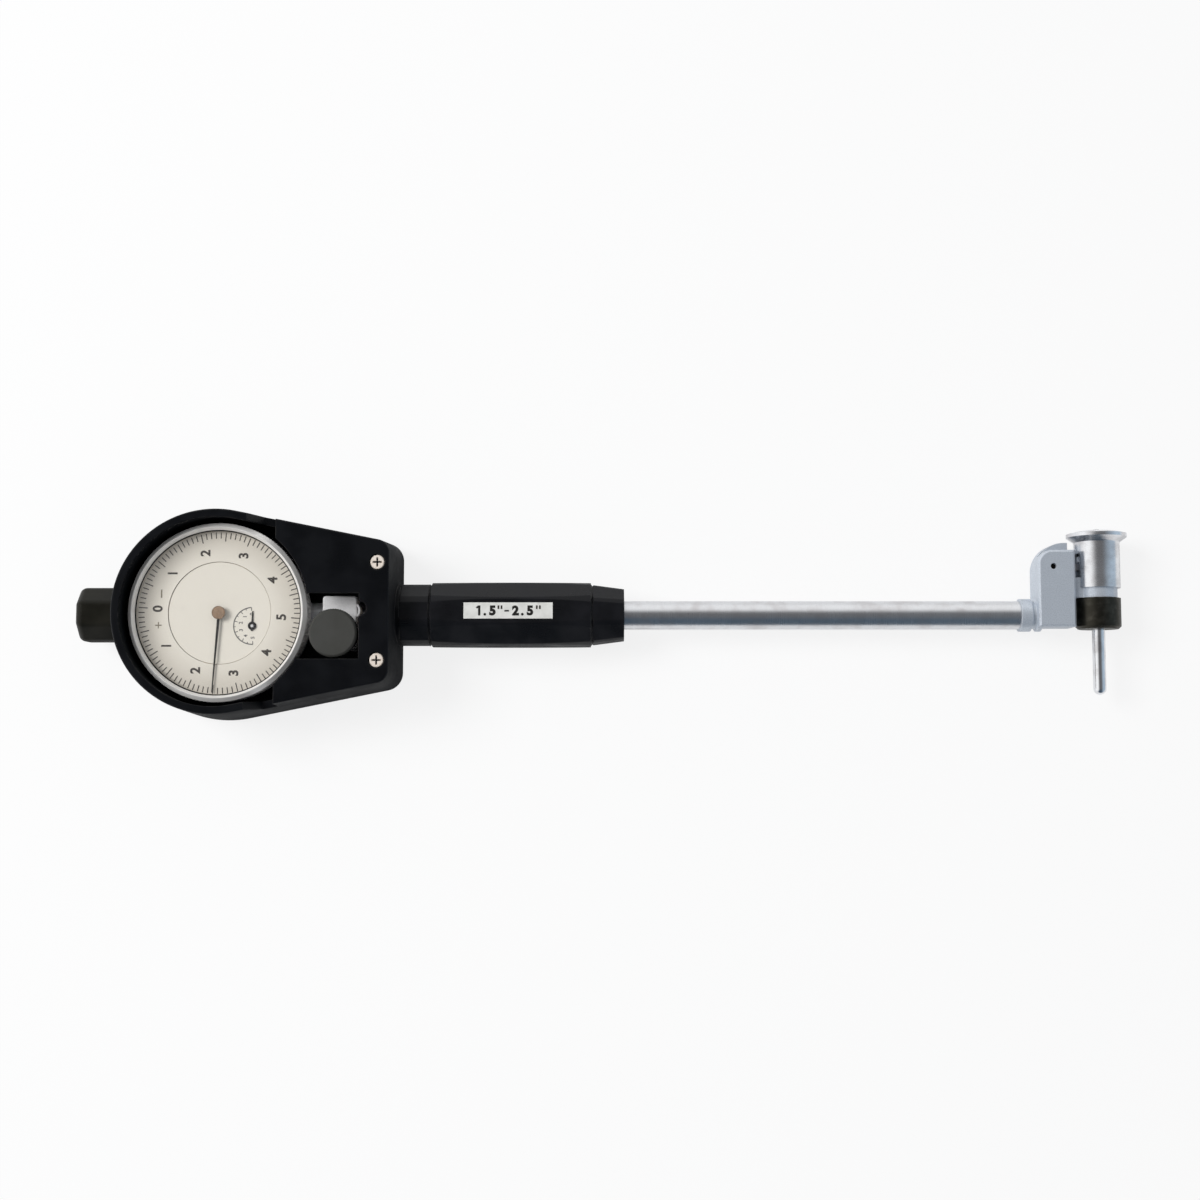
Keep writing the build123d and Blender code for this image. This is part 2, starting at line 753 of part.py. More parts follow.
# Knob of the clamp, turned with a hub under its disc
with BuildPart() as clamp_knob:
    with BuildSketch(above(block_top + sliding_gap, knob_x, knob_y)):
        Circle(knob_hub_radius)
    extrude(amount=knob_bottom - block_top - sliding_gap)
    with BuildSketch(above(knob_bottom, knob_x, knob_y)):
        Circle(knob_radius)
    extrude(amount=knob_height)
    chamfer(clamp_knob.faces().sort_by(Axis.Z)[-1].edges(), knob_edge)
    with BuildSketch(above(block_top + sliding_gap, knob_x, knob_y)):
        Circle(stud_radius)
    extrude(amount=stud_in_knob, mode=Mode.SUBTRACT)
keep(clamp_knob, "clamp_knob")

# Threaded stud of the knob
with BuildPart() as clamp_screw:
    with BuildSketch(above(stud_bottom, knob_x, knob_y)):
        Circle(stud_radius)
    extrude(amount=block_top + sliding_gap + stud_in_knob - stud_bottom)
    chamfer(clamp_screw.faces().sort_by(Axis.Z)[0].edges(), stud_radius / 4)
keep(clamp_screw, "clamp_screw")

# Case of the indicator: a ring with lugs for the back's screws
with BuildPart() as dial_case:
    with BuildSketch(above(case_bottom)):
        Circle(case_radius)
        Circle(case_inner_radius, mode=Mode.SUBTRACT)
    extrude(amount=case_top - case_bottom)
    with BuildSketch(above(case_bottom)):
        with PolarLocations(back_screw_ring, back_screw_count, start_angle=back_screw_turn):
            Circle(back_lug_radius)
            with Locations((back_lug_radius, 0)):
                Rectangle(2 * back_lug_radius, 2 * back_lug_radius)
        Circle(case_radius, mode=Mode.INTERSECT)
    extrude(amount=back_plate_bottom - case_bottom)
    with BuildSketch(above(case_bottom)):
        with PolarLocations(back_screw_ring, back_screw_count, start_angle=back_screw_turn):
            Circle(back_screw_radius)
    extrude(amount=back_plate_bottom - case_bottom, mode=Mode.SUBTRACT)
    with BuildSketch(across(0)):
        Circle(stem_radius)
    extrude(amount=2 * case_radius, mode=Mode.SUBTRACT)
    with BuildSketch(across(0)):
        Circle(spindle_bush_radius)
    extrude(amount=-2 * case_radius, mode=Mode.SUBTRACT)
keep(dial_case, "dial_case")

# Back of the indicator, with recesses for its screws
with BuildPart() as dial_back:
    with BuildSketch(above(case_bottom - back_thickness)):
        Circle(case_radius)
    extrude(amount=back_thickness)
    chamfer(dial_back.faces().sort_by(Axis.Z)[0].edges(), back_thickness / 2)
    with BuildSketch(above(case_bottom)):
        with PolarLocations(back_screw_ring, back_screw_count, start_angle=back_screw_turn):
            Circle(back_screw_radius)
    extrude(amount=-back_thickness, mode=Mode.SUBTRACT)
    with BuildSketch(above(case_bottom - back_thickness)):
        with PolarLocations(back_screw_ring, back_screw_count, start_angle=back_screw_turn):
            Circle(2 * back_screw_radius)
    extrude(amount=back_thickness / 2, mode=Mode.SUBTRACT)
keep(dial_back, "dial_back")

# Four screws of the back
with BuildPart() as back_screws:
    with BuildSketch(above(case_bottom - back_thickness)):
        with PolarLocations(back_screw_ring, back_screw_count, start_angle=back_screw_turn):
            Circle(2 * back_screw_radius)
    extrude(amount=back_thickness / 2)
    with BuildSketch(above(case_bottom - back_thickness)):
        with PolarLocations(back_screw_ring, back_screw_count, start_angle=back_screw_turn):
            Circle(back_screw_radius)
    extrude(amount=back_thickness + back_plate_bottom - case_bottom)
keep(back_screws, "back_screws")

# Stem of the indicator, flanged inside the case
with BuildPart() as dial_stem:
    stem_flange_end = (case_inner_radius**2 - stem_flange_radius**2) ** 0.5
    with BuildSketch(gauge_section):
        with BuildLine():
            Polyline(
                (stem_flange_end - stem_flange, spindle_radius + running_gap),
                (stem_end, spindle_radius + running_gap),
                (stem_end, stem_radius),
                (stem_flange_end, stem_radius),
                (stem_flange_end, stem_flange_radius),
                (stem_flange_end - stem_flange, stem_flange_radius),
                close=True,
            )
        make_face()
    revolve(axis=gauge_axis)
keep(dial_stem, "dial_stem")

# Upper bush of the spindle
with BuildPart() as spindle_bush:
    with BuildSketch(across(spindle_bush_end)):
        Circle(spindle_bush_radius)
        Circle(spindle_radius + running_gap, mode=Mode.SUBTRACT)
    extrude(amount=-case_inner_radius - spindle_bush_end + case_wall)
keep(spindle_bush, "spindle_bush")

# Spindle with the rack cut into its side
with BuildPart() as spindle:
    with BuildSketch(across(spindle_end)):
        Circle(spindle_radius)
    extrude(amount=spindle_shoulder - spindle_end)
    rack_tip_y = rack_pitch_y - addendum_share * rack_module
    rack_root_y = rack_pitch_y + dedendum_share * rack_module
    half_gap = (1 - tooth_share) * rack_pitch / 2
    with BuildSketch(above(axis_height)):
        with Locations((arbor_x, rack_tip_y - spindle_radius)):
            Rectangle(rack_teeth * rack_pitch, 2 * spindle_radius)
        for k in range(rack_teeth):
            with BuildLine(above(axis_height, arbor_x + (k + (1 - rack_teeth) / 2) * rack_pitch)):
                Polyline(
                    (-half_gap - (1 - tip_share) * tooth_share * rack_pitch / 2, rack_tip_y),
                    (half_gap + (1 - tip_share) * tooth_share * rack_pitch / 2, rack_tip_y),
                    (half_gap - (root_share - 1) * tooth_share * rack_pitch / 2, rack_root_y),
                    (-half_gap + (root_share - 1) * tooth_share * rack_pitch / 2, rack_root_y),
                    close=True,
                )
            make_face()
    extrude(amount=spindle_radius, both=True, mode=Mode.SUBTRACT)
keep(spindle, "spindle")

# Rounded tip that meets the push rod
with BuildPart() as spindle_tip:
    tip_end = rod_start - touch_gap
    with BuildSketch(gauge_section):
        with BuildLine():
            Polyline(
                (tip_end - spindle_tip_radius, spindle_tip_radius),
                (spindle_shoulder, spindle_tip_radius),
                (spindle_shoulder, 0),
                (tip_end, 0),
            )
            RadiusArc(
                (tip_end, 0), (tip_end - spindle_tip_radius, spindle_tip_radius), -spindle_tip_radius
            )
        make_face()
    revolve(axis=gauge_axis)
keep(spindle_tip, "spindle_tip")

# Movement plates, drilled for the arbors
with BuildPart() as movement_back_plate:
    with BuildSketch(above(back_plate_bottom)):
        Circle(back_plate_radius)
        with Locations((arbor_x, arbor_y), (takeup_x, takeup_y)):
            Circle(arbor_radius + running_gap, mode=Mode.SUBTRACT)
    extrude(amount=plate_thickness)
    with BuildSketch(above(back_plate_bottom, takeup_x, takeup_y)):
        with Locations((hairspring_reach + hairspring_thickness / 2 + stud_post_radius, 0)):
            Circle(stud_post_radius)
    extrude(amount=hairspring_bottom + hairspring_strip - back_plate_bottom)
keep(movement_back_plate, "movement_back_plate")

with BuildPart() as movement_front_plate:
    with BuildSketch(above(front_plate_bottom)):
        Circle(front_plate_radius)
        with Locations((arbor_x, arbor_y), (takeup_x, takeup_y)):
            Circle(arbor_radius + running_gap, mode=Mode.SUBTRACT)
        Circle(hand_bush_radius, mode=Mode.SUBTRACT)
    extrude(amount=plate_thickness)
keep(movement_front_plate, "movement_front_plate")

# Pillars between the plates
with BuildPart() as movement_pillars:
    pillar_ring = back_plate_radius - pillar_radius
    with BuildSketch(above(back_plate_bottom + plate_thickness)):
        for bearing in (hand_bearing, hand_bearing + pi):
            for turn in (-pillar_turn, pillar_turn):
                with PolarLocations(pillar_ring, 1, start_angle=degrees(bearing) + turn):
                    Circle(pillar_radius)
    extrude(amount=front_plate_bottom - back_plate_bottom - plate_thickness)
keep(movement_pillars, "movement_pillars")

# First arbor: pinion in the rack, wheel, and the journal of the counter hand
with BuildPart() as rack_arbor:
    with BuildSketch(above(back_plate_bottom, arbor_x, arbor_y)):
        Circle(arbor_radius)
    extrude(amount=face_top + counter_rise - back_plate_bottom)
    with BuildSketch(above(axis_height - pinion_width / 2, arbor_x, arbor_y)):
        with BuildLine():
            Polyline(*gear_points(pinion_teeth, pinion_pitch_radius, pi / 2), close=True)
        make_face()
    extrude(amount=pinion_width)
    with BuildSketch(above(wheel_bottom, arbor_x, arbor_y)):
        with BuildLine():
            Polyline(*gear_points(wheel_teeth, wheel_pitch_radius, hand_bearing), close=True)
        make_face()
    extrude(amount=wheel_width)
keep(rack_arbor, "rack_arbor")

# Take-up arbor with its own wheel on the centre pinion
with BuildPart() as takeup_arbor:
    with BuildSketch(above(back_plate_bottom, takeup_x, takeup_y)):
        Circle(arbor_radius)
    extrude(amount=front_plate_top - back_plate_bottom)
    with BuildSketch(above(wheel_bottom, takeup_x, takeup_y)):
        with BuildLine():
            Polyline(*gear_points(wheel_teeth, wheel_pitch_radius, hand_bearing + pi), close=True)
        make_face()
    extrude(amount=wheel_width)
keep(takeup_arbor, "takeup_arbor")

# Hairspring on the take-up arbor: half turns that grow by half the pitch
with BuildPart() as hairspring:
    with BuildSketch(above(hairspring_bottom, takeup_x, takeup_y)):
        with BuildLine():
            for k in range(hairspring_half_turns):
                side = (-1) ** k
                inner = hairspring_inner + k * hairspring_pitch / 2
                outer = inner + hairspring_pitch / 2
                middle = side * (inner - outer) / 2
                swing = (inner + outer) / 2
                ThreePointArc((side * inner, 0), (middle, side * swing), (-side * outer, 0))
        trace(line_width=hairspring_thickness)
    extrude(amount=hairspring_strip)
keep(hairspring, "hairspring")

# Centre arbor: pinion and the journal of the main hand
with BuildPart() as hand_arbor:
    pinion_bottom = wheel_bottom + (wheel_width - hand_pinion_width) / 2
    pinion_phase = hand_bearing + pi + pi / hand_pinion_teeth
    with BuildSketch(above(pinion_bottom)):
        with BuildLine():
            Polyline(
                *gear_points(hand_pinion_teeth, hand_pinion_pitch_radius, pinion_phase), close=True
            )
        make_face()
    extrude(amount=hand_pinion_width)
    with BuildSketch(above(pinion_bottom)):
        Circle(hand_arbor_radius)
    extrude(amount=face_top + hand_rise + hand_hub_height / 2 - pinion_bottom)
keep(hand_arbor, "hand_arbor")

# Bush of the centre arbor, pressed into the front plate
with BuildPart() as hand_bush:
    bush_bottom = wheel_bottom + wheel_width + (hand_pinion_width - wheel_width) / 2 + sliding_gap
    with BuildSketch(above(bush_bottom)):
        Circle(hand_bush_radius)
        Circle(hand_arbor_radius + running_gap, mode=Mode.SUBTRACT)
    extrude(amount=face_bottom - face_gap - bush_bottom)
keep(hand_bush, "hand_bush")

# Fixed inner dial on three feet
with BuildPart() as dial_plate:
    with BuildSketch(above(face_bottom)):
        Circle(inner_face_radius)
        Circle(2 * hand_arbor_radius, mode=Mode.SUBTRACT)
        with Locations((arbor_x, arbor_y)):
            Circle(arbor_radius + sliding_gap, mode=Mode.SUBTRACT)
    extrude(amount=face_thickness)
    with BuildSketch(above(front_plate_top)):
        with PolarLocations(inner_face_radius - foot_inset, foot_count, start_angle=foot_turn):
            Circle(foot_radius)
    extrude(amount=face_bottom - front_plate_top)
keep(dial_plate, "dial_plate")

# Outer scale ring, carried by the bezel
with BuildPart() as dial_ring:
    with BuildSketch(above(face_bottom)):
        Circle(bezel_inner_radius)
        Circle(inner_face_radius + face_split, mode=Mode.SUBTRACT)
    extrude(amount=face_thickness + ring_proud)
keep(dial_ring, "dial_ring")

# Bezel: turned ring on the case's outside, with a groove for the crystal
with BuildPart() as bezel:
    with BuildSketch(Plane.XZ):
        with BuildLine():
            Polyline(
                (case_radius + running_gap, case_top - bezel_skirt),
                (bezel_radius, case_top - bezel_skirt),
                (bezel_radius, bezel_top - bezel_bevel),
                (bezel_radius - bezel_bevel, bezel_top),
                (bezel_inner_radius + bezel_lip, bezel_top),
                (bezel_inner_radius, crystal_top + bezel_lip),
                (bezel_inner_radius, crystal_top),
                (bezel_inner_radius + bezel_lip, crystal_top),
                (bezel_inner_radius + bezel_lip, crystal_bottom),
                (bezel_inner_radius, crystal_bottom),
                (bezel_inner_radius, face_bottom),
                (case_radius + running_gap, face_bottom),
                close=True,
            )
        make_face()
    revolve(axis=Axis.Z)
keep(bezel, "bezel")

# Crystal: shallow dome with a flat rim in the bezel's groove
with BuildPart() as crystal:
    dome_radius = (bezel_inner_radius**2 + crystal_rise**2) / (2 * crystal_rise)
    dome_sweep = degrees(asin(bezel_inner_radius / dome_radius))
    with BuildSketch(Plane.XZ):
        with BuildLine():
            CenterArc((0, crystal_top + crystal_rise - dome_radius), dome_radius, 90, -dome_sweep)
            Polyline(
                (bezel_inner_radius, crystal_top),
                (bezel_inner_radius + bezel_lip, crystal_top),
                (bezel_inner_radius + bezel_lip, crystal_bottom),
                (bezel_inner_radius, crystal_bottom),
            )
            CenterArc((0, crystal_bottom + crystal_rise - dome_radius), dome_radius, 90, -dome_sweep)
            Line((0, crystal_bottom + crystal_rise), (0, crystal_top + crystal_rise))
        make_face()
    revolve(axis=Axis.Z)
keep(crystal, "crystal")

# Main hand: tapered pointer with a hub
with BuildPart() as main_hand:
    hand_plane = above(face_top + hand_rise).rotated((0, 0, hand_angle))
    with BuildSketch(hand_plane):
        with BuildLine():
            Polyline(
                (-hand_tail, -hand_width / 2),
                (0, -hand_width / 2),
                (hand_length, -hand_tip_width / 2),
                (hand_length, hand_tip_width / 2),
                (0, hand_width / 2),
                (-hand_tail, hand_width / 2),
                close=True,
            )
        make_face()
    extrude(amount=hand_thickness)
    with BuildSketch(hand_plane):
        Circle(hand_hub_radius)
    extrude(amount=hand_hub_height)
    chamfer(main_hand.faces().sort_by(Axis.Z)[-1].edges(), hand_hub_height / 4)
    with BuildSketch(hand_plane):
        Circle(hand_arbor_radius)
    extrude(amount=hand_hub_height / 2, mode=Mode.SUBTRACT)
keep(main_hand, "main_hand")

# Counter hand on the first arbor
with BuildPart() as counter_hand:
    counter_plane = above(face_top + counter_rise, arbor_x, arbor_y).rotated((0, 0, counter_angle))
    with BuildSketch(counter_plane):
        with BuildLine():
            Polyline(
                (-counter_tail, -counter_width / 2),
                (0, -counter_width / 2),
                (counter_length, -hand_tip_width / 2),
                (counter_length, hand_tip_width / 2),
                (0, counter_width / 2),
                (-counter_tail, counter_width / 2),
                close=True,
            )
        make_face()
        Circle(counter_hub_radius)
    extrude(amount=hand_thickness)
keep(counter_hand, "counter_hand")

# Head: block with the lever slot, barrel, web, spigot and the tube's socket
with BuildPart() as head_body:
    with BuildSketch(above(axis_height - head_half_depth)) as rear_outline:
        with BuildLine():
            Polyline(
                (block_left, block_low_y),
                (block_right, block_low_y),
                (block_right, relief_y),
                (relief_x, relief_y),
                (relief_x, rear_top_y),
                (block_left, rear_top_y),
                close=True,
            )
        make_face()
        fillet(rear_outline.vertices().group_by(Axis.X)[0].sort_by(Axis.Y)[-1], rear_corner)
    extrude(amount=2 * head_half_depth - cheek_depth)
    with BuildSketch(above(axis_height + head_half_depth - cheek_depth)) as cheek_outline:
        with BuildLine():
            Polyline(
                (block_left, block_low_y),
                (block_right, block_low_y),
                (block_right, cheek_top_y),
                (block_left, cheek_top_y),
                close=True,
            )
        make_face()
        fillet(cheek_outline.vertices().group_by(Axis.X)[0].sort_by(Axis.Y)[-1], cheek_corner)
    extrude(amount=cheek_depth)
    chamfer(head_body.faces().sort_by(Axis.Z)[-1].edges(), cheek_chamfer)
    with BuildSketch(head_section):
        with BuildLine():
            Polyline(
                (0, spigot_bottom_y),
                (spigot_radius, spigot_bottom_y),
                (spigot_radius, barrel_bottom_y),
                (barrel_radius, barrel_bottom_y),
                (barrel_radius, barrel_shoulder_y),
                (barrel_stub_radius, barrel_shoulder_y),
                (barrel_stub_radius, barrel_top_y),
                (0, barrel_top_y),
                close=True,
            )
        make_face()
    revolve(axis=measuring_axis)
    with BuildSketch(above(axis_height)):
        with BuildLine():
            Polyline(
                (block_right - web_half_width, barrel_bottom_y),
                (head_x, barrel_bottom_y),
                (head_x, web_top_y),
                (block_right - web_half_width, web_top_y),
                close=True,
            )
        make_face()
    extrude(amount=web_half_width, both=True)
    with BuildSketch(gauge_section):
        with BuildLine():
            Polyline(
                (head_collar_start, 0),
                (head_collar_start, head_collar_radius),
                (tube_end + head_groove_width / 2, head_collar_radius),
                (tube_end + head_groove_width, head_collar_radius - head_groove_depth),
                (tube_end + 2 * head_groove_width, head_collar_radius - head_groove_depth),
                (block_left, head_collar_radius),
                (slot_left, head_collar_radius),
                (slot_left, 0),
                close=True,
            )
        make_face()
    revolve(axis=gauge_axis)
    with BuildSketch(across(head_collar_start)):
        Circle(tube_radius)
    extrude(amount=tube_end - head_collar_start, mode=Mode.SUBTRACT)
    with BuildSketch(across(head_collar_start)):
        Circle(rod_bore_radius)
    extrude(amount=pivot_x - head_collar_start, mode=Mode.SUBTRACT)
    with BuildSketch(above(axis_height)):
        with BuildLine():
            Polyline(
                (slot_left, slot_low_y),
                (slot_low_right, slot_low_y),
                (slot_low_right, slot_bar_low),
                (head_x, slot_bar_low),
                (head_x, slot_bar_high),
                (block_right, slot_bar_high),
                (block_right, 2 * rear_top_y),
                (slot_left, 2 * rear_top_y),
                close=True,
            )
        make_face()
    extrude(amount=slot_half, both=True, mode=Mode.SUBTRACT)
    with BuildSketch(across_head(chamber_bottom_y)):
        Circle(chamber_radius)
    extrude(amount=bush_seat_y - chamber_bottom_y, mode=Mode.SUBTRACT)
    with BuildSketch(across_head(bush_seat_y)):
        Circle(contact_bush_radius)
    extrude(amount=barrel_top_y - bush_seat_y, mode=Mode.SUBTRACT)
    with BuildSketch(above(0, pivot_x, pivot_y)):
        Circle(pin_radius)
    extrude(amount=2 * axis_height, mode=Mode.SUBTRACT)
keep(head_body, "head_body")

# Pivot pin of the bell crank
with BuildPart() as lever_pin:
    with BuildSketch(above(axis_height - head_half_depth, pivot_x, pivot_y)):
        Circle(pin_radius)
    extrude(amount=2 * head_half_depth - pin_recess)
keep(lever_pin, "lever_pin")

# Bell crank: two equal arms with round ends
with BuildPart() as bell_crank:
    with BuildSketch(above(axis_height - lever_thickness / 2)):
        with Locations((pivot_x + lever_arm / 2, pivot_y)):
            Rectangle(lever_arm, lever_arm_width)
        with Locations((pivot_x, pivot_y - lever_arm / 2)):
            Rectangle(lever_arm_width, lever_arm)
        with Locations((head_x, pivot_y), (pivot_x, pivot_y - lever_arm)):
            Circle(lever_tip_radius)
        with Locations((pivot_x, pivot_y)):
            Circle(lever_hub_radius)
            Circle(pin_radius + running_gap, mode=Mode.SUBTRACT)
    extrude(amount=lever_thickness)
keep(bell_crank, "bell_crank")

# Bush of the measuring plunger
with BuildPart() as contact_bush:
    with BuildSketch(across_head(bush_seat_y)):
        Circle(contact_bush_radius)
        Circle(plunger_radius + running_gap, mode=Mode.SUBTRACT)
    extrude(amount=barrel_top_y - bush_seat_y)
keep(contact_bush, "contact_bush")

# Measuring plunger with its collar under the bush
with BuildPart() as contact_plunger:
    with BuildSketch(across_head(plunger_bottom_y)):
        Circle(plunger_collar_radius)
    extrude(amount=plunger_collar_top_y - plunger_bottom_y)
    with BuildSketch(across_head(plunger_bottom_y)):
        Circle(plunger_radius)
    extrude(amount=plunger_top_y - plunger_bottom_y)
    with BuildSketch(across_head(plunger_top_y)):
        Circle(contact_stem_radius)
    extrude(amount=-contact_stem_length, mode=Mode.SUBTRACT)
keep(contact_plunger, "contact_plunger")

# Domed contact tip in the plunger's end
with BuildPart() as contact_tip:
    tip_rise = (contact_top_y - plunger_top_y) / 2
    tip_dome_radius = (plunger_radius**2 + tip_rise**2) / (2 * tip_rise)
    tip_sweep = degrees(asin(plunger_radius / tip_dome_radius))
    with BuildSketch(head_section):
        with BuildLine():
            Polyline(
                (0, contact_top_y),
                (0, plunger_top_y - contact_stem_length),
                (contact_stem_radius, plunger_top_y - contact_stem_length),
                (contact_stem_radius, plunger_top_y),
                (plunger_radius, plunger_top_y),
                (plunger_radius, contact_top_y - tip_rise),
            )
            CenterArc((0, contact_top_y - tip_dome_radius), tip_dome_radius, 90, -tip_sweep)
        make_face()
    revolve(axis=measuring_axis)
keep(contact_tip, "contact_tip")

# Guide cup: sprung sleeve on the barrel with the flange that centres the gauge
cup_bore_radius = barrel_radius + running_gap
cup_hole_radius = plunger_radius + contact_hole_gap
with BuildPart() as guide_cup:
    with BuildSketch(head_section):
        with BuildLine():
            Polyline(
                (cup_hole_radius, flange_crown_y),
                (cup_hole_radius, cup_roof_y),
                (cup_bore_radius, cup_roof_y),
                (cup_bore_radius, cup_bottom_y),
                (cup_radius, cup_bottom_y),
                (cup_radius, cup_top_y),
                (flange_radius, flange_low_y),
                (flange_radius, flange_high_y),
            )
            crown_middle = ((cup_hole_radius + flange_radius) / 2, flange_high_y)
            ThreePointArc(
                (flange_radius, flange_high_y),
                (crown_middle[0], flange_high_y + 0.75 * (flange_crown_y - flange_high_y)),
                (cup_hole_radius, flange_crown_y),
            )
        make_face()
    revolve(axis=measuring_axis)
    cup_slot_top = slot_bar_high + guide_travel
    with BuildSketch(above(axis_height)):
        with BuildLine():
            Polyline(
                (block_right, 0),
                (head_x, 0),
                (head_x, cup_slot_top),
                (block_right, cup_slot_top),
                close=True,
            )
        make_face()
    extrude(amount=web_half_width + slot_clearance, both=True, mode=Mode.SUBTRACT)
keep(guide_cup, "guide_cup")

# Coil spring between the barrel's shoulder and the guide cup's roof
with BuildPart() as guide_spring:
    guide_coil = coil(
        (barrel_stub_radius + cup_bore_radius) / 2,
        guide_spring_wire,
        guide_spring_pitch,
        cup_roof_y - barrel_shoulder_y,
    )
    add(across_head(barrel_shoulder_y) * guide_coil)
keep(guide_spring, "guide_spring")

# Ring nut that clamps the anvil's flange against the spigot
with BuildPart() as anvil_nut:
    with BuildSketch(head_section):
        with BuildLine():
            Polyline(
                (anvil_radius + sliding_gap, anvil_nut_bottom_y),
                (anvil_nut_radius - anvil_nut_chamfer, anvil_nut_bottom_y),
                (anvil_nut_radius, anvil_nut_bottom_y + anvil_nut_chamfer),
                (anvil_nut_radius, barrel_bottom_y - sliding_gap),
                (spigot_radius + running_gap, barrel_bottom_y - sliding_gap),
                (spigot_radius + running_gap, anvil_flange_bottom_y - touch_gap),
                (anvil_radius + sliding_gap, anvil_flange_bottom_y - touch_gap),
                close=True,
            )
        make_face()
    revolve(axis=measuring_axis)
keep(anvil_nut, "anvil_nut")

# Exchangeable anvil with a rounded end
with BuildPart() as anvil_rod:
    with BuildSketch(head_section):
        with BuildLine():
            Polyline(
                (0, anvil_tip_y),
                (0, spigot_bottom_y),
                (anvil_flange_radius, spigot_bottom_y),
                (anvil_flange_radius, anvil_flange_bottom_y),
                (anvil_radius, anvil_flange_bottom_y),
                (anvil_radius, anvil_tip_y + anvil_radius),
            )
            RadiusArc((anvil_radius, anvil_tip_y + anvil_radius), (0, anvil_tip_y), anvil_radius)
        make_face()
    revolve(axis=measuring_axis)
keep(anvil_rod, "anvil_rod")
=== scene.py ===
"""Dress a dial bore gauge: its finishes, dial print, knurls and studio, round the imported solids."""

import logging
from dataclasses import dataclass, replace
from enum import Enum
from functools import cache
from math import cos, pi, radians, sin
from typing import Any

import bmesh
import bpy
from mathutils import Matrix, Vector


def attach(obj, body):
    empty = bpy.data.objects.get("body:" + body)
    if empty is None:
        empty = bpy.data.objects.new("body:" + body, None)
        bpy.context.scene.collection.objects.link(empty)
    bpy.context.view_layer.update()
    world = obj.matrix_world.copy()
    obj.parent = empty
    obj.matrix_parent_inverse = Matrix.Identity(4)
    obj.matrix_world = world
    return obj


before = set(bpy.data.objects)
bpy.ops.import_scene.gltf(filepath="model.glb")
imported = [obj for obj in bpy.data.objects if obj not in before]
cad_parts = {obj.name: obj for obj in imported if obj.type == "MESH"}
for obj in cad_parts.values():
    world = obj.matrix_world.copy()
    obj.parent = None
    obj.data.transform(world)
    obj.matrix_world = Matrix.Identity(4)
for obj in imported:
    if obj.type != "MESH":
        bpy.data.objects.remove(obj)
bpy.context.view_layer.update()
LOG = logging.getLogger("bore_gauge")

MM = 0.001
FULL_TURN = 360.0
FRAME_BODY = "gauge_frame"
Colour = tuple[float, float, float]
Point = tuple[float, float, float]
Span = tuple[float, float]
Profile = tuple[Span, ...]

WHITE: Colour = (1.0, 1.0, 1.0)
SOFT_DETAIL = 2.0
GRAIN_DETAIL = 3.0
CLOUD_DETAIL = 4.0


class Axis(Enum):
    """The axis that a turned piece was turned about."""

    X = (1.0, 0.0, 0.0)
    Y = (0.0, 1.0, 0.0)
    Z = (0.0, 0.0, 1.0)


class BarForm(Enum):
    """The form of one bar of a ring: printed mark or raised rib."""

    MARK = "mark"
    RIB = "rib"


class NodeBoard:
    """A node tree with short calls that add and link its nodes."""

    def __init__(self, tree: bpy.types.NodeTree) -> None:
        """Start from an empty tree."""
        self.tree = tree
        tree.nodes.clear()

    def add(self, kind: str, inputs: dict[Any, Any] | None = None, **settings: Any) -> bpy.types.Node:
        """Add a node.

        Args:
            kind: The node's type name.
            inputs: Values, nodes or sockets for its inputs, by name or place.
            settings: The node's own properties.

        Returns:
            The new node.
        """
        node = self.tree.nodes.new(kind)
        for name, value in settings.items():
            setattr(node, name, value)
        for key, value in (inputs or {}).items():
            self.feed(node.inputs[key], value)
        return node

    def feed(self, socket: bpy.types.NodeSocket, value: Any) -> None:
        """Link a node or socket into a socket, or set the socket's own value."""
        if isinstance(value, bpy.types.Node):
            value = value.outputs[0]
        if isinstance(value, bpy.types.NodeSocket):
            self.tree.links.new(value, socket)
        else:
            socket.default_value = value

    def maths(self, operation: str, first: Any, second: Any = 0.0, third: Any = 0.0) -> bpy.types.Node:
        """Add a Math node of one, two or three values."""
        return self.add("ShaderNodeMath", {0: first, 1: second, 2: third}, operation=operation)

    def vector(self, operation: str, first: Any, second: Any) -> bpy.types.Node:
        """Add a Vector Math node of two vectors."""
        return self.add("ShaderNodeVectorMath", {0: first, 1: second}, operation=operation)


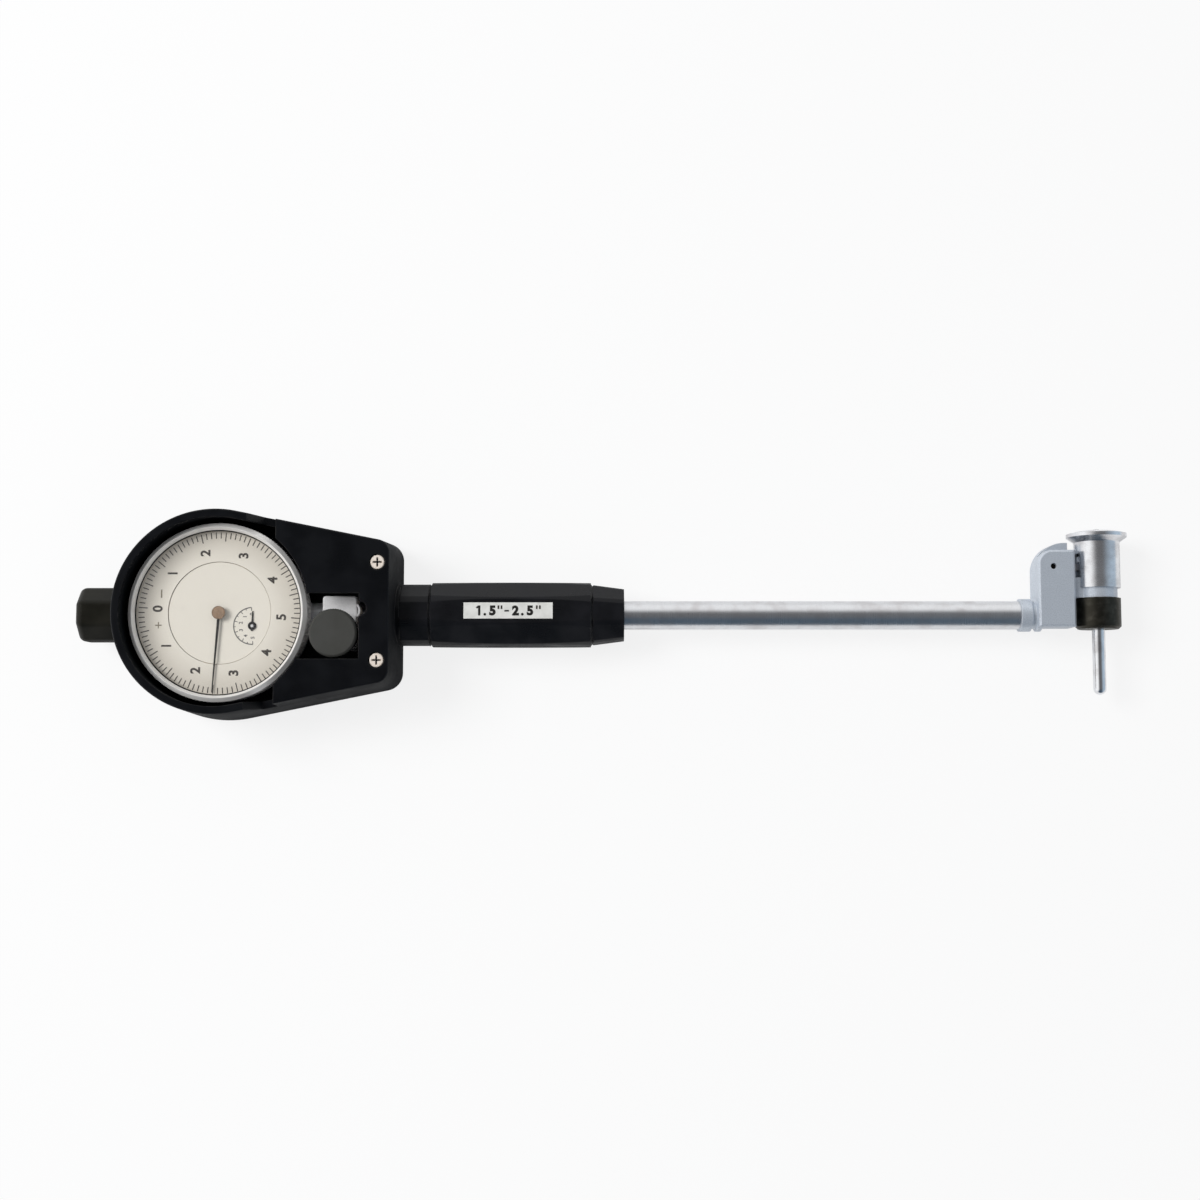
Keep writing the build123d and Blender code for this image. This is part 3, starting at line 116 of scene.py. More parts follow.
class ShaderBoard(NodeBoard):
    """A node board for materials and the world."""

    EDGE_SAMPLES = 6
    EDGE_AGREEMENT: Span = (0.97, 0.75)

    def place(self) -> bpy.types.NodeSocket:
        """The point on the piece, in the shared frame."""
        return self.add("ShaderNodeTexCoord").outputs["Object"]

    def noise(self, size: float, detail: float, stretch: Point = (1.0, 1.0, 1.0)) -> bpy.types.Node:
        """Add cloudy noise.

        Args:
            size: Size of its patches in mm.
            detail: How many finer layers it has.
            stretch: Share of the noise's scale along each axis.

        Returns:
            The noise node, whose first output is its value.
        """
        spread = self.vector("MULTIPLY", self.place(), stretch)
        inputs = {"Vector": spread, "Scale": 1 / (size * MM), "Detail": detail}
        return self.add("ShaderNodeTexNoise", inputs)

    def span(self, value: Any, start: float, end: float, low: Any = 0.0, high: Any = 1.0) -> bpy.types.Node:
        """Map a value smoothly from start..end to low..high."""
        inputs = {"Value": value, "From Min": start, "From Max": end, "To Min": low, "To Max": high}
        return self.add("ShaderNodeMapRange", inputs, interpolation_type="SMOOTHSTEP")

    def blend(self, factor: Any, first: Any, second: Any) -> bpy.types.NodeSocket:
        """Mix two colours by a factor."""
        inputs = {0: factor, 6: self.colour(first), 7: self.colour(second)}
        return self.add("ShaderNodeMix", inputs, data_type="RGBA").outputs[2]

    @staticmethod
    def colour(value: Any) -> Any:
        """Give a plain colour its alpha, and leave a socket as it is."""
        return (*value, 1.0) if isinstance(value, tuple) else value

    def softened(self, radius: float) -> bpy.types.NodeSocket:
        """The surface normal, rounded over the edges by a radius in mm."""
        return self.add("ShaderNodeBevel", {"Radius": radius * MM}, samples=self.EDGE_SAMPLES).outputs[0]

    def edges(self, soft: bpy.types.NodeSocket) -> bpy.types.Node:
        """How far each point lies on an edge, from 0 to 1, by its softened normal."""
        plain = self.add("ShaderNodeNewGeometry").outputs["Normal"]
        agreement = self.vector("DOT_PRODUCT", soft, plain).outputs["Value"]
        return self.span(agreement, *self.EDGE_AGREEMENT)

    def bump(self, height: Any, depth: float, normal: Any) -> bpy.types.Node:
        """Raise the surface by a height field, whose full depth is given in mm."""
        inputs = {"Strength": 1.0, "Distance": depth * MM, "Height": height, "Normal": normal}
        return self.add("ShaderNodeBump", inputs)

    def surface(self, **inputs: Any) -> bpy.types.Node:
        """Add a Principled shader; input names are written with _ for a space."""
        named = {name.replace("_", " "): value for name, value in inputs.items()}
        colour = named.pop("Base Color")
        shader = self.add("ShaderNodeBsdfPrincipled", {"Base Color": self.colour(colour)})
        for name, value in named.items():
            self.feed(shader.inputs[name.replace("Ior", "IOR")], value)
        return shader


@dataclass(frozen=True)
class Finish:
    """A surface finish. Each kind lays its own nodes."""

    name: str
    colour: Colour

    def shader(self, board: ShaderBoard) -> bpy.types.Node:
        """Lay the finish's nodes and return the last shader."""
        raise NotImplementedError


@dataclass(frozen=True)
class MouldedPlastic(Finish):
    """Moulded plastic: a fine mould grain, cloudy gloss, etched sides, and pale edges that are partly wear
    and partly painted highlight.
    """

    bloom: Colour
    edge_wear_and_highlight_tone: Colour
    smooth: float = 0.26
    dull: float = 0.4
    grain_size: float = 0.45
    grain_depth: float = 0.006
    cloud_size: float = 9.0
    cloud_tone: Span = (0.35, 0.68)
    cloud_gloss: Span = (0.3, 0.7)
    scuff_size: float = 0.5
    scuff_stretch: Point = (0.08, 1.0, 1.0)
    scuff_marks: Span = (0.55, 0.75)
    scuff_dulling: float = 0.08
    edge_radius: float = 0.45
    edge_wear_and_highlight: float = 0.6
    least_edge_tone: float = 0.1
    edge_patch_size: float = 2.2
    edge_patch_span: Span = (0.42, 0.62)
    specular: float = 0.16
    etch: float = 0.4
    etched_sides: Span = (0.55, 0.2)

    def shader(self, board: ShaderBoard) -> bpy.types.Node:
        """Lay grain, clouds, scuffs, etched sides and pale edges, partly wear and partly painted highlight.
        """
        cloud = board.noise(self.cloud_size, CLOUD_DETAIL)
        grain = board.noise(self.grain_size, GRAIN_DETAIL)
        scuff = board.noise(self.scuff_size, SOFT_DETAIL, self.scuff_stretch)
        soft = board.softened(self.edge_radius)
        edge_cloud = board.noise(self.edge_patch_size, CLOUD_DETAIL)
        patchy = board.span(edge_cloud, *self.edge_patch_span, self.least_edge_tone, self.edge_wear_and_highlight)
        # Pale edges along every edge: partly rubbed wear, partly a painted highlight.
        worn_and_highlit_edges = board.maths("MULTIPLY", board.edges(soft), patchy)
        tone = board.blend(board.span(cloud, *self.cloud_tone), self.colour, self.bloom)
        tone = board.blend(worn_and_highlit_edges, tone, self.edge_wear_and_highlight_tone)
        gloss = board.span(cloud, *self.cloud_gloss, self.smooth, self.dull)
        marks = board.span(scuff, *self.scuff_marks)
        gloss = board.maths("MULTIPLY_ADD", marks, self.scuff_dulling, gloss)
        plain = board.add("ShaderNodeNewGeometry").outputs["Normal"]
        facing = board.add("ShaderNodeSeparateXYZ", {0: plain})
        side = board.span(facing.outputs[2], *self.etched_sides)
        gloss = board.maths("MULTIPLY_ADD", side, self.etch, gloss)
        normal = board.bump(grain, self.grain_depth, soft)
        return board.surface(
            Base_Color=tone, Roughness=gloss, Normal=normal, Specular_Ior_Level=self.specular
        )


@dataclass(frozen=True)
class TurnedMetal(Finish):
    """Metal turned or ground about an axis: fine tool lines, faint stain and softened edges."""

    stain: Colour
    axis: Axis = Axis.X
    centre: Point = (0.0, 0.0, 11.0)
    smooth: float = 0.1
    dull: float = 0.2
    line_pitch: float = 0.22
    line_depth: float = 0.0012
    line_gloss: Span = (0.25, 0.75)
    stain_size: float = 5.0
    stain_tone: Span = (0.4, 0.75)
    stain_gloss: Span = (0.5, 0.8)
    stain_dulling: float = 0.06
    edge_radius: float = 0.18
    metallic: float = 1.0

    def shader(self, board: ShaderBoard) -> bpy.types.Node:
        """Lay tool lines round the axis, then stain and edges."""
        home = tuple(-value * MM for value in self.centre)
        point = board.vector("ADD", board.place(), home)
        along = board.vector("DOT_PRODUCT", point, self.axis.value).outputs["Value"]
        across = tuple(1.0 - value for value in self.axis.value)
        radius = board.vector("LENGTH", board.vector("MULTIPLY", point, across), (0, 0, 0))
        run = board.maths("ADD", along, radius.outputs["Value"])
        inputs = {"W": run, "Scale": 1 / (self.line_pitch * MM), "Detail": GRAIN_DETAIL}
        lines = board.add("ShaderNodeTexNoise", inputs, noise_dimensions="1D")
        cloud = board.noise(self.stain_size, CLOUD_DETAIL)
        tone = board.blend(board.span(cloud, *self.stain_tone), self.colour, self.stain)
        gloss = board.span(lines, *self.line_gloss, self.smooth, self.dull)
        stained = board.span(cloud, *self.stain_gloss)
        gloss = board.maths("MULTIPLY_ADD", stained, self.stain_dulling, gloss)
        normal = board.bump(lines, self.line_depth, board.softened(self.edge_radius))
        return board.surface(Base_Color=tone, Metallic=self.metallic, Roughness=gloss, Normal=normal)


@dataclass(frozen=True)
class BlastedPlate(Finish):
    """Blasted and plated metal: fine speckle, soft sheen and bright edges."""

    speck: Colour
    bright: Colour
    smooth: float = 0.34
    dull: float = 0.5
    speckle_size: float = 0.28
    speckle_depth: float = 0.008
    speckle_tone: Span = (0.38, 0.7)
    speckle_gloss: Span = (0.3, 0.7)
    cloud_size: float = 4.0
    cloud_gloss: Span = (0.4, 0.7)
    cloud_dulling: float = 0.06
    edge_radius: float = 0.3
    edge_polish: float = 0.8
    metallic: float = 1.0

    def shader(self, board: ShaderBoard) -> bpy.types.Node:
        """Lay the speckle, a faint cloud and the edges that handling has polished."""
        speckle = board.noise(self.speckle_size, GRAIN_DETAIL)
        cloud = board.noise(self.cloud_size, GRAIN_DETAIL)
        soft = board.softened(self.edge_radius)
        tone = board.blend(board.span(speckle, *self.speckle_tone), self.colour, self.speck)
        polish = board.maths("MULTIPLY", board.edges(soft), self.edge_polish)
        tone = board.blend(polish, tone, self.bright)
        gloss = board.span(speckle, *self.speckle_gloss, self.smooth, self.dull)
        clouded = board.span(cloud, *self.cloud_gloss)
        gloss = board.maths("MULTIPLY_ADD", clouded, self.cloud_dulling, gloss)
        normal = board.bump(speckle, self.speckle_depth, soft)
        return board.surface(Base_Color=tone, Metallic=self.metallic, Roughness=gloss, Normal=normal)


@dataclass(frozen=True)
class DialEnamel(Finish):
    """Painted dial face: cream, darker and warmer towards its rim, with a faint mottle."""

    rim: Colour
    rim_start: float = 14.0
    rim_end: float = 26.0
    mottle: Colour = (0.74, 0.69, 0.61)
    mottle_size: float = 3.0
    mottle_tone: Span = (0.5, 0.85)
    mottle_share: float = 0.5
    grain_size: float = 0.16
    grain_depth: float = 0.0015
    grain_gloss: Span = (0.3, 0.7)
    smooth: float = 0.38
    dull: float = 0.5
    edge_radius: float = 0.08

    def shader(self, board: ShaderBoard) -> bpy.types.Node:
        """Lay the darker, warmer rim by the distance from the dial's centre, then the mottle."""
        flat = board.vector("MULTIPLY", board.place(), (1.0, 1.0, 0.0))
        radius = board.vector("LENGTH", flat, (0, 0, 0)).outputs["Value"]
        rim_darkening = board.span(radius, self.rim_start * MM, self.rim_end * MM)
        tone = board.blend(rim_darkening, self.colour, self.rim)
        cloud = board.noise(self.mottle_size, CLOUD_DETAIL)
        mottled = board.span(cloud, *self.mottle_tone, 0.0, self.mottle_share)
        tone = board.blend(mottled, tone, self.mottle)
        grain = board.noise(self.grain_size, SOFT_DETAIL)
        gloss = board.span(grain, *self.grain_gloss, self.smooth, self.dull)
        normal = board.bump(grain, self.grain_depth, board.softened(self.edge_radius))
        return board.surface(Base_Color=tone, Roughness=gloss, Normal=normal)


@dataclass(frozen=True)
class PrintInk(Finish):
    """Printed ink: near black, thinner in patches."""

    thin: Colour
    patch_size: float = 0.5
    patch_tone: Span = (0.45, 0.75)
    patch_gloss: Span = (0.3, 0.7)
    smooth: float = 0.45
    dull: float = 0.65
    specular: float = 0.3

    def shader(self, board: ShaderBoard) -> bpy.types.Node:
        """Lay the thin patches and a dull gloss."""
        patches = board.noise(self.patch_size, GRAIN_DETAIL)
        tone = board.blend(board.span(patches, *self.patch_tone), self.colour, self.thin)
        gloss = board.span(patches, *self.patch_gloss, self.smooth, self.dull)
        return board.surface(Base_Color=tone, Roughness=gloss, Specular_Ior_Level=self.specular)


@dataclass(frozen=True)
class ClearCrystal(Finish):
    """Clear acrylic: polished, with a little haze, and no shade on the dial under it."""

    haze_size: float = 6.0
    haze_patches: Span = (0.45, 0.75)
    haze: float = 0.02
    ior: float = 1.49

    def shader(self, board: ShaderBoard) -> bpy.types.Node:
        """Lay the clear shader, and let the light of lamps and sky straight through it."""
        cloud = board.noise(self.haze_size, CLOUD_DETAIL)
        gloss = board.span(cloud, *self.haze_patches, 0.0, self.haze)
        clear = board.surface(
            Base_Color=self.colour, Roughness=gloss, Transmission_Weight=1.0, Ior=self.ior
        )
        path = board.add("ShaderNodeLightPath").outputs
        passing = board.maths("MAXIMUM", path["Is Shadow Ray"], path["Is Diffuse Ray"])
        bare = board.add("ShaderNodeBsdfTransparent")
        return board.add("ShaderNodeMixShader", {0: passing, 1: clear, 2: bare})


@cache
def material_of(finish: Finish) -> bpy.types.Material:
    """Make a finish's material once.

    Args:
        finish: The finish to lay.

    Returns:
        Its material.
    """
    material = bpy.data.materials.new(finish.name)
    material.use_nodes = True
    board = ShaderBoard(material.node_tree)
    board.add("ShaderNodeOutputMaterial", {"Surface": finish.shader(board)})
    return material


HEAD_AXIS: Point = (276.95, 0.0, 11.0)

COVER = MouldedPlastic(
    "cover_moulding", (0.003, 0.0034, 0.0044), bloom=(0.005, 0.0056, 0.007),
    edge_wear_and_highlight_tone=(0.06, 0.056, 0.052),
)
CAP = replace(
    COVER, name="cap_moulding", colour=(0.009, 0.0085, 0.006), bloom=(0.015, 0.0142, 0.0105),
)
GRIP = replace(
    COVER, name="grip_moulding", colour=(0.005, 0.0053, 0.0066), bloom=(0.008, 0.0083, 0.0105),
    dull=0.46, specular=0.2, etch=0.2,
)
KNOB = MouldedPlastic(
    "knob_moulding", (0.052, 0.052, 0.047), bloom=(0.062, 0.062, 0.058), edge_wear_and_highlight_tone=(0.12, 0.12, 0.11),
    smooth=0.58, dull=0.74, grain_size=0.3, grain_depth=0.01, edge_wear_and_highlight=0.35,
)
LABEL = MouldedPlastic(
    "label_plate", (0.76, 0.76, 0.73), bloom=(0.66, 0.66, 0.63), edge_wear_and_highlight_tone=(0.84, 0.84, 0.82),
    smooth=0.4, dull=0.55, grain_size=0.2, grain_depth=0.003, cloud_size=3.0, edge_radius=0.12,
)
BRIGHT = TurnedMetal(
    "bright_tube", (0.78, 0.79, 0.81), stain=(0.66, 0.65, 0.66), smooth=0.27, dull=0.33,
    line_depth=0.0003,
)
BEZEL = replace(
    BRIGHT, name="bright_bezel", axis=Axis.Z, centre=(0.0, 0.0, 0.0), colour=(0.9, 0.885, 0.86),
    stain=(0.86, 0.84, 0.81), smooth=0.28, dull=0.38, metallic=0.15,
)
CUP = replace(
    BRIGHT, name="bright_cup", axis=Axis.Y, centre=HEAD_AXIS, colour=(0.90, 0.91, 0.93),
    smooth=0.22, dull=0.28,
)
ANVIL = replace(CUP, name="bright_anvil", colour=(0.88, 0.89, 0.91), smooth=0.1, dull=0.18)
STEM = replace(
    BRIGHT, name="ground_stem", colour=(0.84, 0.85, 0.86), stain=(0.74, 0.74, 0.75), metallic=0.2,
)
CASE = replace(
    BEZEL, name="case_steel", colour=(0.62, 0.62, 0.63), smooth=0.25, dull=0.4, metallic=1.0,
)
TOOL = replace(
    BRIGHT, name="ground_steel", colour=(0.5, 0.5, 0.52), stain=(0.4, 0.39, 0.39), dull=0.34,
)
PLUNGER = replace(TOOL, name="ground_plunger", axis=Axis.Y, centre=HEAD_AXIS)
SCREW = TurnedMetal(
    "screw_plating", (0.92, 0.83, 0.74), stain=(0.76, 0.65, 0.55), axis=Axis.Z,
    centre=(50.15, 15.1, 0.0), smooth=0.2, dull=0.36, stain_size=0.8, metallic=0.1,
)
SPRING = replace(TOOL, name="drawn_wire", colour=(0.42, 0.42, 0.44), smooth=0.25, dull=0.4)
BRASS = TurnedMetal(
    "turned_brass", (0.70, 0.52, 0.25), stain=(0.5, 0.34, 0.16), axis=Axis.Z, centre=(0.0, 0.0, 0.0),
    smooth=0.2, dull=0.34,
)
BRONZE = replace(
    BRASS, name="bronze_hub", colour=(0.4, 0.27, 0.18), stain=(0.28, 0.185, 0.125),
    smooth=0.36, dull=0.46,
)
NUT = TurnedMetal(
    "blackened_nut", (0.045, 0.042, 0.034), stain=(0.08, 0.075, 0.062), axis=Axis.Y,
    centre=HEAD_AXIS, smooth=0.34, dull=0.46, stain_size=2.5, edge_radius=0.3,
)
PIN = replace(NUT, name="blackened_pin", colour=(0.012, 0.011, 0.010), stain=(0.02, 0.018, 0.016))
PLATED = BlastedPlate(
    "blasted_head", (0.66, 0.71, 0.78), speck=(0.53, 0.58, 0.64), bright=(0.86, 0.89, 0.92),
    metallic=0.5,
)
BLOCK = replace(
    PLATED, name="blasted_block", colour=(0.92, 0.91, 0.91), speck=(0.83, 0.82, 0.82),
    bright=(0.96, 0.96, 0.95), metallic=0.1,
)
ENAMEL = DialEnamel("dial_enamel", (0.81, 0.76, 0.67), rim=(0.61, 0.56, 0.485))
INK = PrintInk("dial_ink", (0.03, 0.024, 0.02), thin=(0.075, 0.06, 0.05))
LABEL_INK = replace(
    INK, name="label_ink", colour=(0.012, 0.011, 0.01), thin=(0.03, 0.028, 0.026),
)
PALE_INK = PrintInk("dial_pale_ink", (0.20, 0.17, 0.12), thin=(0.34, 0.3, 0.22))
GREY_INK = PrintInk("grey_ink", (0.13, 0.125, 0.12), thin=(0.22, 0.21, 0.2), patch_size=0.8)
# Near-black painted shade, laid in the gap round the crystal and on the floors of the screws' cross
# recesses.
PAINTED_SHADE = MouldedPlastic(
    "painted_shade_black", (0.012, 0.012, 0.012), bloom=(0.02, 0.02, 0.02), edge_wear_and_highlight_tone=(0.03, 0.03, 0.03),
    smooth=0.5, dull=0.65, edge_radius=0.05,
)
HAND = PrintInk(
    "hand_paint", (0.006, 0.005, 0.0045), thin=(0.013, 0.01, 0.009), patch_size=1.5, specular=0.08,
)
CRYSTAL = ClearCrystal("clear_crystal", (0.985, 0.99, 0.985))


def dress(finish: Finish, *nodes: str) -> None:
    """Lay a finish on CAD nodes.

    Args:
        finish: The finish.
        nodes: Names of the nodes.
    """
    material = material_of(finish)
    for name in nodes:
        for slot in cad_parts[name].material_slots:
            slot.material = material
    LOG.info("%s on %s", finish.name, ", ".join(nodes))


def evaluated_mesh(holder: bpy.types.Object) -> bpy.types.Mesh:
    """Turn a text, curve or node-made object into a plain mesh and drop the object.

    Args:
        holder: An object that isn't in the scene yet.

    Returns:
        Its evaluated mesh.
    """
    bpy.context.scene.collection.objects.link(holder)
    graph = bpy.context.evaluated_depsgraph_get()
    mesh = bpy.data.meshes.new_from_object(holder.evaluated_get(graph))
    bpy.data.objects.remove(holder)
    return mesh


class RingTree:
    """A Geometry Nodes tree that sets marks or ribs round a ring, every few of them longer."""

    NUMBERS = (
        "Outer Radius", "Bar Length", "Long Length", "Bar Width", "Bar Height", "First Angle",
        "Step Angle",
    )
    COUNTS = ("Count", "Long Every")
    RIB_SIDES = 6

    def __init__(self, form: BarForm) -> None:
        """Build the tree for one form of bar."""
        self.tree = bpy.data.node_groups.new(f"ring_of_{form.value}s", "GeometryNodeTree")
        self.board = NodeBoard(self.tree)
        self.sockets()
        self.lay(form)

    def sockets(self) -> None:
        """Name the tree's inputs and its output."""
        face = self.tree.interface
        for label in self.NUMBERS:
            face.new_socket(label, in_out="INPUT", socket_type="NodeSocketFloat")
        for label in self.COUNTS:
            face.new_socket(label, in_out="INPUT", socket_type="NodeSocketInt")
        face.new_socket("Material", in_out="INPUT", socket_type="NodeSocketMaterial")
        face.new_socket("Geometry", in_out="OUTPUT", socket_type="NodeSocketGeometry")

    def bar(self, form: BarForm) -> bpy.types.Node:
        """One bar of unit size: a box for a mark, a six-sided rod for a rib."""
        if form is BarForm.MARK:
            return self.board.add("GeometryNodeMeshCube")
        inputs = {"Vertices": self.RIB_SIDES, "Radius": 0.5, "Depth": 1.0}
        return self.board.add("GeometryNodeMeshCylinder", inputs)

    def lay(self, form: BarForm) -> None:
        """Lay the nodes: points on the ring, a scaled bar on each, realized, with a material."""
        board = self.board
        sizes = board.add("NodeGroupInput").outputs
        index = board.add("GeometryNodeInputIndex")
        angle = board.maths("MULTIPLY_ADD", index, sizes["Step Angle"], sizes["First Angle"])
        spare = board.maths("MODULO", index, sizes["Long Every"])
        is_long = board.maths("LESS_THAN", spare, 0.5)
        extra = board.maths("SUBTRACT", sizes["Long Length"], sizes["Bar Length"])
        length = board.maths("MULTIPLY_ADD", is_long, extra, sizes["Bar Length"])
        middle = board.maths("MULTIPLY_ADD", length, -0.5, sizes["Outer Radius"])
        across = board.maths("MULTIPLY", middle, board.maths("COSINE", angle))
        up = board.maths("MULTIPLY", middle, board.maths("SINE", angle))
        spot = board.add("ShaderNodeCombineXYZ", {0: across, 1: up})
        points = board.add("GeometryNodePoints", {"Count": sizes["Count"], "Position": spot})
        about_z = board.add("ShaderNodeCombineXYZ", {2: angle})
        turn = board.add("FunctionNodeEulerToRotation", {0: about_z})
        inputs = {0: length, 1: sizes["Bar Width"], 2: sizes["Bar Height"]}
        scale = board.add("ShaderNodeCombineXYZ", inputs)
        inputs = {"Points": points, "Instance": self.bar(form), "Rotation": turn, "Scale": scale}
        copies = board.add("GeometryNodeInstanceOnPoints", inputs)
        bars = board.add("GeometryNodeRealizeInstances", {0: copies})
        inputs = {"Geometry": bars, "Material": sizes["Material"]}
        coated = board.add("GeometryNodeSetMaterial", inputs)
        board.add("NodeGroupOutput", {"Geometry": coated})

    def mesh(self, values: dict[str, Any]) -> bpy.types.Mesh:
        """Run the tree.

        Args:
            values: The tree's inputs by name, lengths in metres and angles in radians.

        Returns:
            The ring as a plain mesh, about the Z axis.
        """
        holder = bpy.data.objects.new(self.tree.name, bpy.data.meshes.new(self.tree.name))
        modifier = holder.modifiers.new("ring", "NODES")
        modifier.node_group = self.tree
        for item in self.tree.interface.items_tree:
            if item.in_out == "INPUT":
                modifier[item.identifier] = values[item.name]
        return evaluated_mesh(holder)


@dataclass(frozen=True)
class Ring:
    """Sizes in mm and degrees of a ring of marks or ribs."""

    form: BarForm
    count: int
    outer_radius: float
    bar_length: float
    bar_width: float
    bar_height: float
    first_angle: float = 0.0
    step_angle: float = 0.0
    long_length: float = 0.0
    long_every: int = 1

    def mesh(self, finish: Finish) -> bpy.types.Mesh:
        """Build the ring's mesh in a finish, standing on Z = 0 about the Z axis."""
        step = self.step_angle or FULL_TURN / self.count
        mesh = ring_tree(self.form).mesh({
            "Outer Radius": self.outer_radius * MM,
            "Bar Length": self.bar_length * MM,
            "Long Length": (self.long_length or self.bar_length) * MM,
            "Bar Width": self.bar_width * MM,
            "Bar Height": self.bar_height * MM,
            "First Angle": radians(self.first_angle),
            "Step Angle": radians(step),
            "Count": self.count,
            "Long Every": self.long_every,
            "Material": material_of(finish),
        })
        mesh.transform(Matrix.Translation((0, 0, self.bar_height * MM / 2)))
        return mesh


@cache
def ring_tree(form: BarForm) -> RingTree:
    """The tree of one form of bar, made once."""
    return RingTree(form)


def at(x: float, y: float, z: float, turn: float = 0.0) -> Matrix:
    """A place in mm, with a turn about Z in degrees."""
    return Matrix.Translation(Vector((x, y, z)) * MM) @ Matrix.Rotation(radians(turn), 4, "Z")


def letters(text: str, height: float, thickness: float, swell: float = 0.0) -> bpy.types.Mesh:
    """Cut letters as thin solids, centred on the origin and standing on Z = 0.

    Args:
        text: What they say.
        height: Height of the whole line in mm.
        thickness: Thickness in mm.
        swell: How much each stroke is widened at each side, in mm at the final size.

    Returns:
        The letters' mesh.
    """
    curve = bpy.data.curves.new("letters", "FONT")
    curve.body = text
    curve.size = height * MM
    curve.offset = swell * MM
    curve.extrude = thickness * MM / 2
    mesh = evaluated_mesh(bpy.data.objects.new("letters", curve))
    low = Vector(min(v.co[i] for v in mesh.vertices) for i in range(3))
    high = Vector(max(v.co[i] for v in mesh.vertices) for i in range(3))
    centre = (low + high) / 2
    share = height * MM / (high.y - low.y)
    mesh.transform(Matrix.Translation((-centre.x, -centre.y, -low.z)))
    mesh.transform(Matrix.Diagonal((share, share, 1.0, 1.0)))
    return mesh


def plain_mesh(solid: bmesh.types.BMesh, name: str) -> bpy.types.Mesh:
    """Give a solid's mesh, and free the solid."""
    mesh = bpy.data.meshes.new(name)
    solid.to_mesh(mesh)
    solid.free()
    return mesh


def closed_mesh(solid: bmesh.types.BMesh, name: str) -> bpy.types.Mesh:
    """Turn all faces of a closed solid outwards and give its mesh."""
    bmesh.ops.recalc_face_normals(solid, faces=solid.faces)
    return plain_mesh(solid, name)


def box(length: float, width: float, height: float) -> bpy.types.Mesh:
    """A printed bar with its sizes in mm, centred on the origin and standing on Z = 0."""
    solid = bmesh.new()
    bmesh.ops.create_cube(solid, size=1.0)
    mesh = plain_mesh(solid, "bar")
    mesh.transform(Matrix.Diagonal((length * MM, width * MM, height * MM, 1.0)))
    mesh.transform(Matrix.Translation((0, 0, height * MM / 2)))
    return mesh


def band(
    radius: float, width: float, height: float, start: float, end: float, steps: int
) -> bpy.types.Mesh:
    """A printed arc or whole ring about the Z axis, standing on Z = 0.

    Args:
        radius: Radius at the middle of its width in mm.
        width: Width in mm.
        height: Thickness in mm.
        start: First angle in degrees.
        end: Last angle in degrees.
        steps: Number of straight steps.

    Returns:
        The arc's mesh.
    """
    solid = bmesh.new()
    corners = ((-0.5, 0.0), (0.5, 0.0), (0.5, 1.0), (-0.5, 1.0))
    whole = end - start == FULL_TURN
    rows = []
    for step in range(steps if whole else steps + 1):
        angle = radians(start + (end - start) * step / steps)
        row = []
        for out, up in corners:
            reach = (radius + out * width) * MM
            corner = (reach * cos(angle), reach * sin(angle), up * height * MM)
            row.append(solid.verts.new(corner))
        rows.append(row)
    following = rows[1:] + rows[:1] if whole else rows[1:]
    for first, second in zip(rows, following):
        for i in range(len(corners)):
            j = (i + 1) % len(corners)
            solid.faces.new((first[i], first[j], second[j], second[i]))
    if not whole:
        solid.faces.new(rows[0])
        solid.faces.new(rows[-1])
    return closed_mesh(solid, "arc")


def turned(profile: Profile, steps: int = 48) -> bpy.types.Mesh:
    """Turn a profile about the Z axis.

    Args:
        profile: Radius and height in mm of each corner, from the axis to the axis.
        steps: Number of steps round the axis.

    Returns:
        The closed mesh.
    """
    solid = bmesh.new()
    rings = []
    for radius, height in profile:
        if radius == 0:
            rings.append([solid.verts.new((0, 0, height * MM))])
            continue
        ring = []
        for step in range(steps):
            angle = 2 * pi * step / steps
            corner = (radius * MM * cos(angle), radius * MM * sin(angle), height * MM)
            ring.append(solid.verts.new(corner))
        rings.append(ring)
    for low, high in zip(rings, rings[1:]):
        for i in range(steps):
            j = (i + 1) % steps
            below = [low[i % len(low)], low[j % len(low)]]
            above = [high[j % len(high)], high[i % len(high)]]
            solid.faces.new(list(dict.fromkeys(below + above)))
    return closed_mesh(solid, "turning")


class Piece:
    """A finished piece: meshes gathered in their place, in one finish, riding on one body."""

    SHARP = radians(32)
    MERGE = 1e-7

    def __init__(self, name: str, finish: Finish, slot: str, body: str = FRAME_BODY) -> None:
        """Start an empty piece.

        Args:
            name: The piece's name.
            finish: Its finish.
            slot: The record's material slot that it takes its finish from.
            body: The body that it moves with.
        """
        self.name = name
        self.finish = finish
        # slot: The record's material slot; it is stored but not used.
        self.slot = slot
        self.body = body
        self.solid = bmesh.new()

    def take(self, mesh: bpy.types.Mesh, place: Matrix) -> None:
        """Add a mesh at a place."""
        mesh.transform(place)
        self.solid.from_mesh(mesh)
        bpy.data.meshes.remove(mesh)

    def done(self) -> None:
        """Make the object, and set it on its body."""
        bmesh.ops.remove_doubles(self.solid, verts=self.solid.verts, dist=self.MERGE)
        mesh = plain_mesh(self.solid, self.name)
        mesh.materials.clear()
        mesh.materials.append(material_of(self.finish))
        for face in mesh.polygons:
            face.material_index = 0
            face.use_smooth = True
        mesh.set_sharp_from_angle(angle=self.SHARP)
        piece = bpy.data.objects.new(self.name, mesh)
        bpy.context.scene.collection.objects.link(piece)
        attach(piece, self.body)
        LOG.info("%s rides on %s, %d faces", self.name, self.body, len(mesh.polygons))


class SubAssembly:
    """A sub-assembly: the pieces that only its look adds, and the finishes of its solids."""

    def build(self) -> None:
        """Add the extra pieces; a plain sub-assembly has none."""

    def dress(self) -> None:
        """Lay the finishes."""
        raise NotImplementedError


